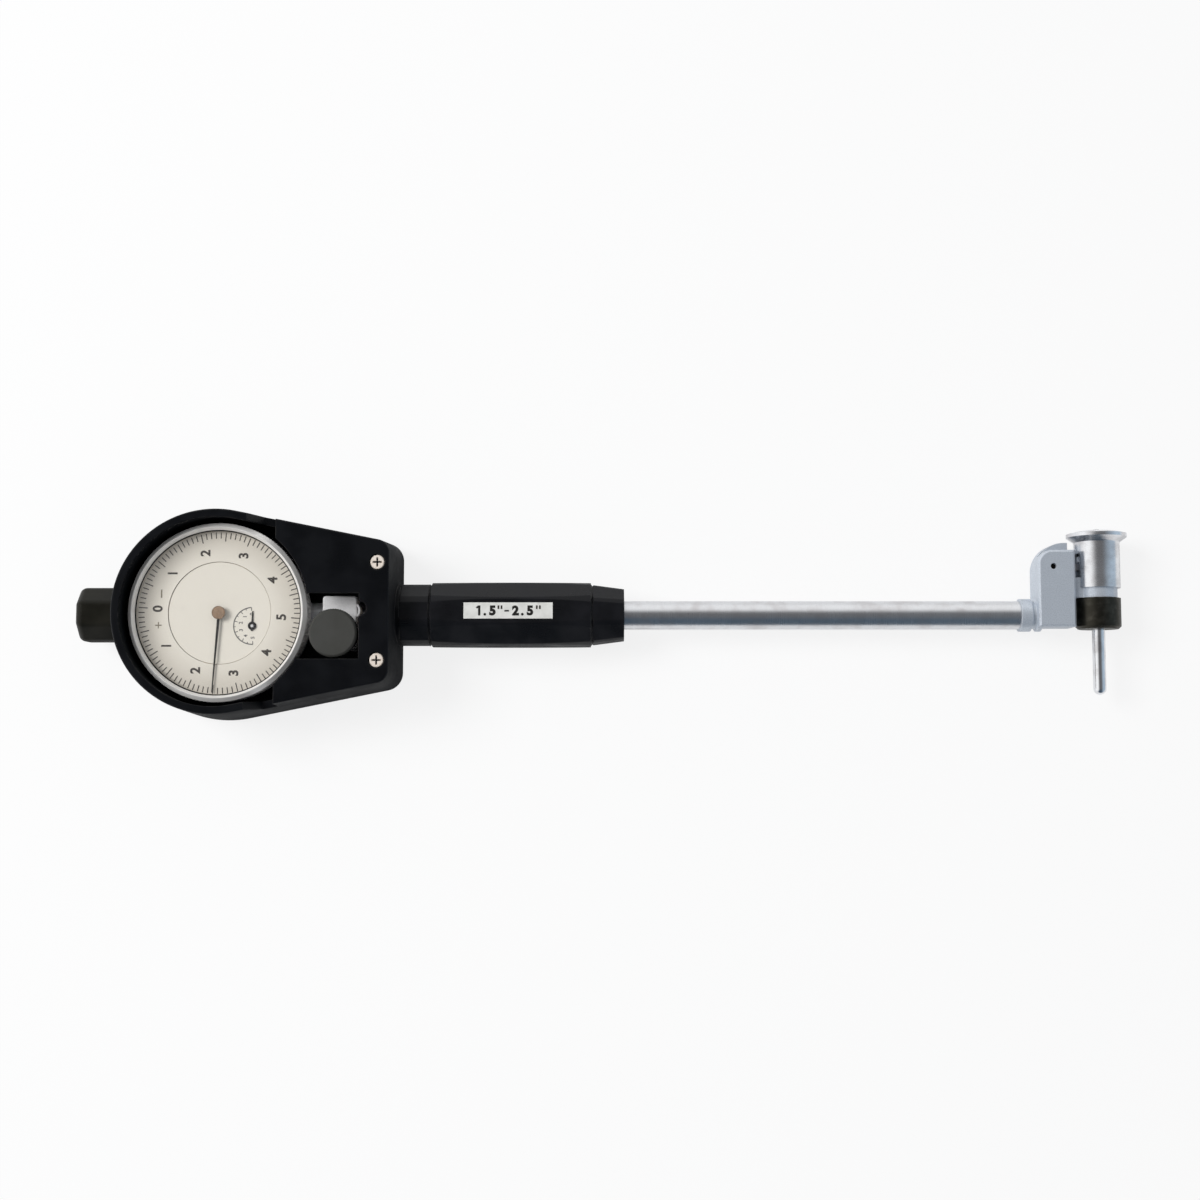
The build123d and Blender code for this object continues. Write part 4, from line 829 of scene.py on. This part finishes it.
@dataclass
class Guard(SubAssembly):
    """The black cover round the dial, its front plate, end cap and screws."""

    screw_x: float = 50.15
    screw_y: float = 15.1
    recess_floor: float = 29.0
    recess_shade_depth: float = 0.3
    recess_length: float = 2.3
    recess_width: float = 0.36

    def build(self) -> None:
        """Lay painted shade: near-black bars on the floors of the screws' cross recesses."""
        # Painted shade: these bars stand in for the shade inside the cross recesses.
        shade = Piece("screw_recess_painted_shade", PAINTED_SHADE, "hand_black")
        for side in (-1, 1):
            for turn in (0.0, 90.0):
                bar = box(self.recess_length, self.recess_width, self.recess_shade_depth)
                shade.take(bar, at(self.screw_x, side * self.screw_y, self.recess_floor, turn))
        shade.done()

    def dress(self) -> None:
        """Lay the finishes."""
        dress(COVER, "cover_rear", "cover_front")
        dress(CAP, "end_cap")
        dress(SCREW, "cover_screws", "cap_screw")


@dataclass
class Grip(SubAssembly):
    """The faceted grip with its printed range plate."""

    label_middle: float = 89.975
    label_length: float = 27.85
    label_width: float = 5.1
    sheet_depth: float = 0.02
    label_reach: float = 10.05
    axis_height: float = 11.0
    lean: float = 4.5
    figures: tuple[tuple[str, float], ...] = (("5", -4.88), ("2", 2.31), ("5", 6.83))
    figure_height: float = 3.2
    figure_swell: float = 0.19
    one_along: float = -9.0
    one_width: float = 0.72
    flag_along: float = -9.5
    flag_drop: float = 0.5
    flag_turn: float = 40.0
    flag_length: float = 1.0
    flag_width: float = 0.55
    flag_lift: float = 0.004
    points: tuple[float, ...] = (-7.24, 4.46)
    point_height: float = 0.8
    point_radius: float = 0.42
    point_steps: int = 20
    dash_along: float = -0.44
    dash_up: float = -0.1
    dash_length: float = 1.45
    dash_width: float = 0.5
    inch_marks: tuple[float, ...] = (-3.0, -2.05, 8.95, 9.9)
    inch_length: float = 1.15
    inch_width: float = 0.55
    print_depth: float = 0.03

    def on_label(self, along: float, up: float) -> Matrix:
        """A place on the sheet of the leaning plate, in mm from its middle."""
        plate = at(self.label_middle, 0.0, self.axis_height)
        leaning = plate @ Matrix.Rotation(radians(-self.lean), 4, "X")
        return leaning @ at(along, up, self.label_reach + self.sheet_depth)

    def build(self) -> None:
        """Lay the square-cut sheet on the plate, and print the range on it."""
        self.lay_sheet()
        self.print_figures()
        self.print_inches()

    def lay_sheet(self) -> None:
        """Lay the square-cut sheet."""
        sheet = Piece("range_sheet", LABEL, "label_white")
        paper = box(self.label_length, self.label_width, self.sheet_depth)
        sheet.take(paper, self.on_label(0.0, 0.0) @ at(0.0, 0.0, -self.sheet_depth))
        sheet.done()

    def print_figures(self) -> None:
        """Print the figures, points and dash of the range; the one is a bar with a flag."""
        words = Piece("range_figures", LABEL_INK, "hand_black")
        height, depth = self.figure_height, self.print_depth
        for text, along in self.figures:
            figure = letters(text, height, depth, swell=self.figure_swell)
            words.take(figure, self.on_label(along, 0.0))
        words.take(box(self.one_width, height, depth), self.on_label(self.one_along, 0.0))
        flag = box(self.flag_length, self.flag_width, depth + self.flag_lift)
        top = self.on_label(self.flag_along, height / 2 - self.flag_drop)
        words.take(flag, top @ at(0.0, 0.0, 0.0, self.flag_turn))
        dot: Profile = ((0, 0), (self.point_radius, 0), (self.point_radius, depth), (0, depth))
        for along in self.points:
            foot = self.on_label(along, (self.point_height - height) / 2)
            words.take(turned(dot, self.point_steps), foot)
        dash = box(self.dash_length, self.dash_width, depth)
        words.take(dash, self.on_label(self.dash_along, self.dash_up))
        words.done()

    def print_inches(self) -> None:
        """Print the paler inch marks."""
        inches = Piece("range_inch_marks", INK, "hand_black")
        for along in self.inch_marks:
            mark = box(self.inch_width, self.inch_length, self.print_depth)
            inches.take(mark, self.on_label(along, (self.figure_height - self.inch_length) / 2))
        inches.done()

    def dress(self) -> None:
        """Lay the finishes."""
        dress(GRIP, "handle_grip")
        dress(LABEL, "range_label")


class Shaft(SubAssembly):
    """The tube, with the nut, push rod, bushes and spring inside it."""

    def dress(self) -> None:
        """Lay the finishes."""
        dress(BRIGHT, "tube")
        dress(SCREW, "tube_nut")
        dress(TOOL, "push_rod")
        dress(BRASS, "rod_bushes")
        dress(SPRING, "rod_spring")


@dataclass
class Clamp(SubAssembly):
    """The clamp of the dial's stem: split block, stud and knob."""

    knob_x: float = 36.65
    knob_y: float = -6.7
    knob_radius: float = 7.4
    rib_low: float = 26.5
    rib_height: float = 2.3
    rib_width: float = 0.42
    rib_depth: float = 0.5
    rib_proud: float = 0.14
    rib_count: int = 64
    boss_x: float = 40.75
    boss_y: float = 0.8
    boss_low: float = 12.0
    boss_height: float = 8.6
    boss_radius: float = 2.75
    boss_width: float = 0.6
    boss_spread: float = 42.0
    boss_steps: int = 24

    def build(self) -> None:
        """Round the boss on the block's far face, and knurl the knob's edge."""
        boss = Piece("clamp_boss", BLOCK, "satin_grey")
        spread = self.boss_spread
        edge = band(
            self.boss_radius, self.boss_width, self.boss_height, -spread, spread, self.boss_steps
        )
        boss.take(edge, at(self.boss_x, self.boss_y, self.boss_low))
        boss.done()
        knurl = Piece("knob_knurl", KNOB, "knob_grey", "knob")
        ring = Ring(
            BarForm.RIB, self.rib_count, self.knob_radius + self.rib_proud, self.rib_depth,
            self.rib_width, self.rib_height,
        )
        knurl.take(ring.mesh(KNOB), at(self.knob_x, self.knob_y, self.rib_low))
        knurl.done()

    def dress(self) -> None:
        """Lay the finishes."""
        dress(BLOCK, "clamp_block")
        dress(KNOB, "clamp_knob")
        dress(TOOL, "clamp_screw")
        dress(STEM, "dial_stem")


@dataclass
class Dial(SubAssembly):
    """The dial indicator's face: scale, counter, hands, bezel and crystal."""

    face: float = 20.6
    ring_face: float = 20.9
    zero_angle: float = 176.1
    numeral_count: int = 10
    numeral_radius: float = 19.3
    numeral_height: float = 3.1
    numeral_swell: float = 0.1
    one_width: float = 0.58
    print_depth: float = 0.03
    mark_count: int = 100
    mark_outer: float = 25.2
    mark_length: float = 1.9
    mark_width: float = 0.32
    long_length: float = 2.8
    long_every: int = 5
    upright: float = 90.0
    minus_angle: float = 14.5
    minus_inset: float = 0.2
    minus_size: Span = (2.6, 0.42)
    plus_angle: float = 15.4
    plus_size: Span = (2.0, 0.36)
    plus_lift: float = 0.005
    counter_x: float = 10.205
    counter_y: float = -4.021
    counter_zero: float = 93.0
    counter_spread: float = 180.0
    counter_radius: float = 5.75
    counter_line: float = 0.35
    counter_steps: int = 60
    counter_marks: int = 11
    counter_mark_length: float = 0.6
    counter_mark_width: float = 0.24
    counter_mark_lift: float = 0.004
    counter_long_length: float = 1.0
    counter_long_every: int = 2
    counter_figures: int = 6
    counter_figure_radius: float = 3.7
    counter_figure_height: float = 1.2
    counter_figure_swell: float = 0.03
    hub_low: float = 22.0
    hub_profile: Profile = (
        (0, 0), (2.05, 0), (2.05, 0.6), (1.85, 0.8), (0.75, 0.8), (0.6, 0.72), (0.42, 0.62), (0, 0.62),
    )
    arbor_profile: Profile = ((0, 20.9), (0.5, 20.9), (0.5, 21.04), (0.42, 21.1), (0, 21.13))
    arbor_steps: int = 24
    # Sizes of the painted shade band in the gap between crystal and bezel.
    gap_shade_low: float = 23.0
    gap_shade_radius: float = 25.6
    gap_shade_width: float = 0.36
    gap_shade_height: float = 0.14
    gap_shade_steps: int = 180
    bezel_radius: float = 27.83
    knurl_low: float = 18.0
    knurl_height: float = 4.6
    knurl_count: int = 150
    knurl_proud: float = 0.16
    knurl_depth: float = 0.6
    knurl_width: float = 0.62

    def polar(self, radius: float, angle: float, centre: Point) -> Matrix:
        """An upright place at a radius in mm and an angle in degrees from a centre."""
        turn = radians(angle)
        x = centre[0] + radius * cos(turn)
        y = centre[1] + radius * sin(turn)
        return at(x, y, centre[2], self.upright)

    def on_ring(self, radius: float, angle: float) -> Matrix:
        """An upright place on the outer ring."""
        return self.polar(radius, angle, (0.0, 0.0, self.ring_face))

    def build(self) -> None:
        """Print the scales and add the hub, arbor end, painted gap shade and knurl."""
        self.print_scale()
        self.print_signs()
        self.print_counter()
        self.add_hub()
        self.add_gap_shade()
        self.add_knurl()

    def print_scale(self) -> None:
        """Print the hundred marks and the numerals that count to five and back."""
        scale = Piece("dial_scale", INK, "hand_black", "bezel_ring")
        marks = Ring(
            BarForm.MARK, self.mark_count, self.mark_outer, self.mark_length, self.mark_width,
            self.print_depth, first_angle=self.zero_angle, long_length=self.long_length,
            long_every=self.long_every,
        )
        scale.take(marks.mesh(INK), at(0.0, 0.0, self.ring_face))
        for step in range(self.numeral_count):
            count = min(step, self.numeral_count - step)
            angle = self.zero_angle - FULL_TURN * step / self.numeral_count
            scale.take(self.numeral(count), self.on_ring(self.numeral_radius, angle))
        scale.done()

    def numeral(self, count: int) -> bpy.types.Mesh:
        """One numeral of the scale; the one is a plain bar."""
        if count == 1:
            return box(self.one_width, self.numeral_height, self.print_depth)
        return letters(str(count), self.numeral_height, self.print_depth, swell=self.numeral_swell)

    def print_signs(self) -> None:
        """Print the pale signs beside the zero."""
        signs = Piece("dial_signs", PALE_INK, "hand_black", "bezel_ring")
        minus_radius = self.numeral_radius - self.minus_inset
        minus = self.on_ring(minus_radius, self.zero_angle - self.minus_angle)
        plus = self.on_ring(self.numeral_radius, self.zero_angle + self.plus_angle)
        length, width = self.plus_size
        signs.take(box(*self.minus_size, self.print_depth), minus)
        signs.take(box(length, width, self.print_depth), plus)
        signs.take(box(width, length, self.print_depth + self.plus_lift), plus)
        signs.done()

    def print_counter(self) -> None:
        """Print the counter's half ring with its marks and figures."""
        counter = Piece("counter_scale", GREY_INK, "hand_black")
        centre = (self.counter_x, self.counter_y, self.face)
        zero, spread, depth = self.counter_zero, self.counter_spread, self.print_depth
        arc = band(
            self.counter_radius, self.counter_line, depth, zero, zero + spread, self.counter_steps
        )
        counter.take(arc, at(*centre))
        marks = Ring(
            BarForm.MARK, self.counter_marks, self.counter_radius, self.counter_mark_length,
            self.counter_mark_width, depth + self.counter_mark_lift, first_angle=zero,
            step_angle=spread / (self.counter_marks - 1), long_length=self.counter_long_length,
            long_every=self.counter_long_every,
        )
        counter.take(marks.mesh(GREY_INK), at(*centre))
        for count in range(self.counter_figures):
            angle = zero + spread * count / (self.counter_figures - 1)
            figure = letters(
                str(count), self.counter_figure_height, depth, swell=self.counter_figure_swell
            )
            counter.take(figure, self.polar(self.counter_figure_radius, angle, centre))
        counter.done()

    def add_hub(self) -> None:
        """Turn the bronze boss of the main hand and the counter arbor's polished end."""
        boss = Piece("hand_boss", BRONZE, "brass", "hand")
        boss.take(turned(self.hub_profile), at(0.0, 0.0, self.hub_low))
        boss.done()
        end = Piece("counter_arbor_end", BRIGHT, "polished_steel", "counter_train")
        tip = turned(self.arbor_profile, self.arbor_steps)
        end.take(tip, at(self.counter_x, self.counter_y, 0.0))
        end.done()

    def add_gap_shade(self) -> None:
        """Lay painted shade: a near-black band that stands in for the shaded gap between the crystal's rim
        and the bezel.
        """
        gap_shade = Piece("painted_shade_black", PAINTED_SHADE, "hand_black", "bezel_ring")
        ring = band(
            self.gap_shade_radius, self.gap_shade_width, self.gap_shade_height, 0.0, FULL_TURN, self.gap_shade_steps
        )
        gap_shade.take(ring, at(0.0, 0.0, self.gap_shade_low))
        gap_shade.done()

    def add_knurl(self) -> None:
        """Knurl the bezel's edge."""
        knurl = Piece("bezel_knurl", BEZEL, "polished_steel", "bezel_ring")
        ring = Ring(
            BarForm.RIB, self.knurl_count, self.bezel_radius + self.knurl_proud, self.knurl_depth,
            self.knurl_width, self.knurl_height,
        )
        knurl.take(ring.mesh(BEZEL), at(0.0, 0.0, self.knurl_low))
        knurl.done()

    def dress(self) -> None:
        """Lay the finishes."""
        dress(CASE, "dial_case", "dial_back")
        dress(SCREW, "back_screws")
        dress(ENAMEL, "dial_plate", "dial_ring")
        dress(BEZEL, "bezel")
        dress(CRYSTAL, "crystal")
        dress(HAND, "main_hand", "counter_hand")


class Movement(SubAssembly):
    """The dial's movement: rack spindle, plates, arbors and hairspring."""

    def dress(self) -> None:
        """Lay the finishes."""
        dress(TOOL, "spindle", "spindle_tip")
        dress(BRASS, "spindle_bush", "hand_bush", "movement_back_plate", "movement_front_plate")
        dress(BRASS, "movement_pillars", "rack_arbor", "takeup_arbor", "hand_arbor")
        dress(SPRING, "hairspring")


class Head(SubAssembly):
    """The measuring head: body, bell crank, contact, guide cup and anvil."""

    def dress(self) -> None:
        """Lay the finishes."""
        dress(PLATED, "head_body")
        dress(TOOL, "bell_crank")
        dress(PIN, "lever_pin")
        dress(PLUNGER, "contact_plunger")
        dress(BRASS, "contact_bush")
        dress(SPRING, "guide_spring")
        dress(CUP, "guide_cup", "contact_tip")
        dress(ANVIL, "anvil_rod")
        dress(NUT, "anvil_nut")


@dataclass
class Studio:
    """The pale floor, the soft light and the camera."""

    camera_place: Point = (118.65, -39.6, 541.0)
    camera_tilt: float = 4.8
    camera_lens: float = 50.16
    camera_sensor: float = 36.0
    camera_near: float = 0.01
    floor_side: float = 6.0
    floor_drop: float = 0.1
    floor_paint: Colour = (0.9, 0.9, 0.9)
    floor_white: float = 0.82
    floor_sheen: float = 0.25
    ambient: Colour = (0.42, 0.425, 0.435)
    overhead: Colour = (0.13, 0.13, 0.135)
    near_side: Colour = (0.06, 0.09, 0.125)
    near_span: Span = (-0.1, -0.7)
    far_end: Colour = (0.42, 0.52, 0.62)
    far_span: Span = (0.2, 0.9)
    lit_span: Span = (0.25, 0.8)
    key_place: Point = (-1050.0, 400.0, 1290.0)
    key_power: float = 23.0
    key_side: float = 0.8
    aim: Point = (118.0, 0.0, 12.0)

    def build(self) -> None:
        """Set up the floor, the world, the lamp and the camera."""
        self.lay_floor()
        self.light_world()
        self.hang_lamp()
        self.set_camera()
        bpy.context.scene.view_settings.view_transform = "Standard"

    def seen_by(self, board: ShaderBoard, shares: dict[str, float]) -> bpy.types.Node:
        """How far a ray sees the studio white, by its kind.

        Args:
            board: The board to lay the nodes on.
            shares: The share for each kind of ray, by the name of its output.

        Returns:
            The node that gives the share.
        """
        path = board.add("ShaderNodeLightPath").outputs
        total: Any = 0.0
        for kind, share in shares.items():
            total = board.maths("MAXIMUM", total, board.maths("MULTIPLY", path[kind], share))
        return total

    def lay_floor(self) -> None:
        """Lay the pale floor, whitened for the camera, reflections and glass."""
        solid = bmesh.new()
        bmesh.ops.create_grid(solid, x_segments=1, y_segments=1, size=self.floor_side / 2)
        mesh = plain_mesh(solid, "floor")
        mesh.transform(at(self.aim[0], 0.0, -self.floor_drop))
        material = bpy.data.materials.new("pale_floor")
        material.use_nodes = True
        board = ShaderBoard(material.node_tree)
        white, sheen = self.floor_white, self.floor_sheen
        share = self.seen_by(
            board, {"Is Camera Ray": white, "Is Transmission Ray": white, "Is Glossy Ray": sheen}
        )
        paint = board.add("ShaderNodeBsdfDiffuse", {"Color": board.colour(self.floor_paint)})
        glow = board.add("ShaderNodeEmission", {"Color": board.colour(WHITE), "Strength": 1.0})
        mixed = board.add("ShaderNodeMixShader", {0: share, 1: paint, 2: glow})
        board.add("ShaderNodeOutputMaterial", {"Surface": mixed})
        mesh.materials.append(material)
        floor = bpy.data.objects.new("floor", mesh)
        bpy.context.scene.collection.objects.link(floor)

    def light_world(self) -> None:
        """White behind the object, light and dark sides in reflections, plain soft light elsewhere."""
        world = bpy.data.worlds.new("studio")
        bpy.context.scene.world = world
        world.use_nodes = True
        board = ShaderBoard(world.node_tree)
        sight = board.add("ShaderNodeTexCoord").outputs["Generated"]
        way = board.add("ShaderNodeSeparateXYZ", {0: sight})
        along, across = way.outputs[0], way.outputs[1]
        studio = board.blend(board.span(across, *self.near_span), self.overhead, self.near_side)
        studio = board.blend(board.span(along, *self.far_span), studio, self.far_end)
        lit = board.maths("MAXIMUM", board.maths("MULTIPLY", along, -1.0), across)
        studio = board.blend(board.span(lit, *self.lit_span), studio, WHITE)
        tone = board.blend(self.seen_by(board, {"Is Glossy Ray": 1.0}), self.ambient, studio)
        seen = self.seen_by(board, {"Is Camera Ray": 1.0, "Is Transmission Ray": 1.0})
        tone = board.blend(seen, tone, WHITE)
        sky = board.add("ShaderNodeBackground", {"Color": tone, "Strength": 1.0})
        board.add("ShaderNodeOutputWorld", {"Surface": sky})

    def hang_lamp(self) -> None:
        """Hang the soft square lamp, which faces the object and isn't mirrored in gloss or crystal."""
        light = bpy.data.lights.new("key_lamp", "AREA")
        light.shape = "SQUARE"
        light.size = self.key_side
        light.energy = self.key_power
        lamp = bpy.data.objects.new("key_lamp", light)
        lamp.location = Vector(self.key_place) * MM
        facing = (Vector(self.aim) - Vector(self.key_place)).to_track_quat("-Z", "Y")
        lamp.rotation_euler = facing.to_euler()
        lamp.visible_glossy = False
        lamp.visible_transmission = False
        bpy.context.scene.collection.objects.link(lamp)

    def set_camera(self) -> None:
        """Set the camera at the photograph's viewing angle."""
        view = bpy.data.cameras.new("view")
        view.lens = self.camera_lens
        view.sensor_width = self.camera_sensor
        view.clip_start = self.camera_near
        camera = bpy.data.objects.new("view", view)
        camera.location = Vector(self.camera_place) * MM
        camera.rotation_euler = (radians(self.camera_tilt), 0.0, 0.0)
        bpy.context.scene.collection.objects.link(camera)
        bpy.context.scene.camera = camera


def main() -> None:
    """Set up the studio, then build and dress each sub-assembly."""
    logging.basicConfig(level=logging.INFO, format="%(name)s: %(message)s")
    Studio().build()
    for part in (Guard(), Grip(), Shaft(), Clamp(), Dial(), Movement(), Head()):
        part.build()
        part.dress()


if __name__ == "__main__":
    main()
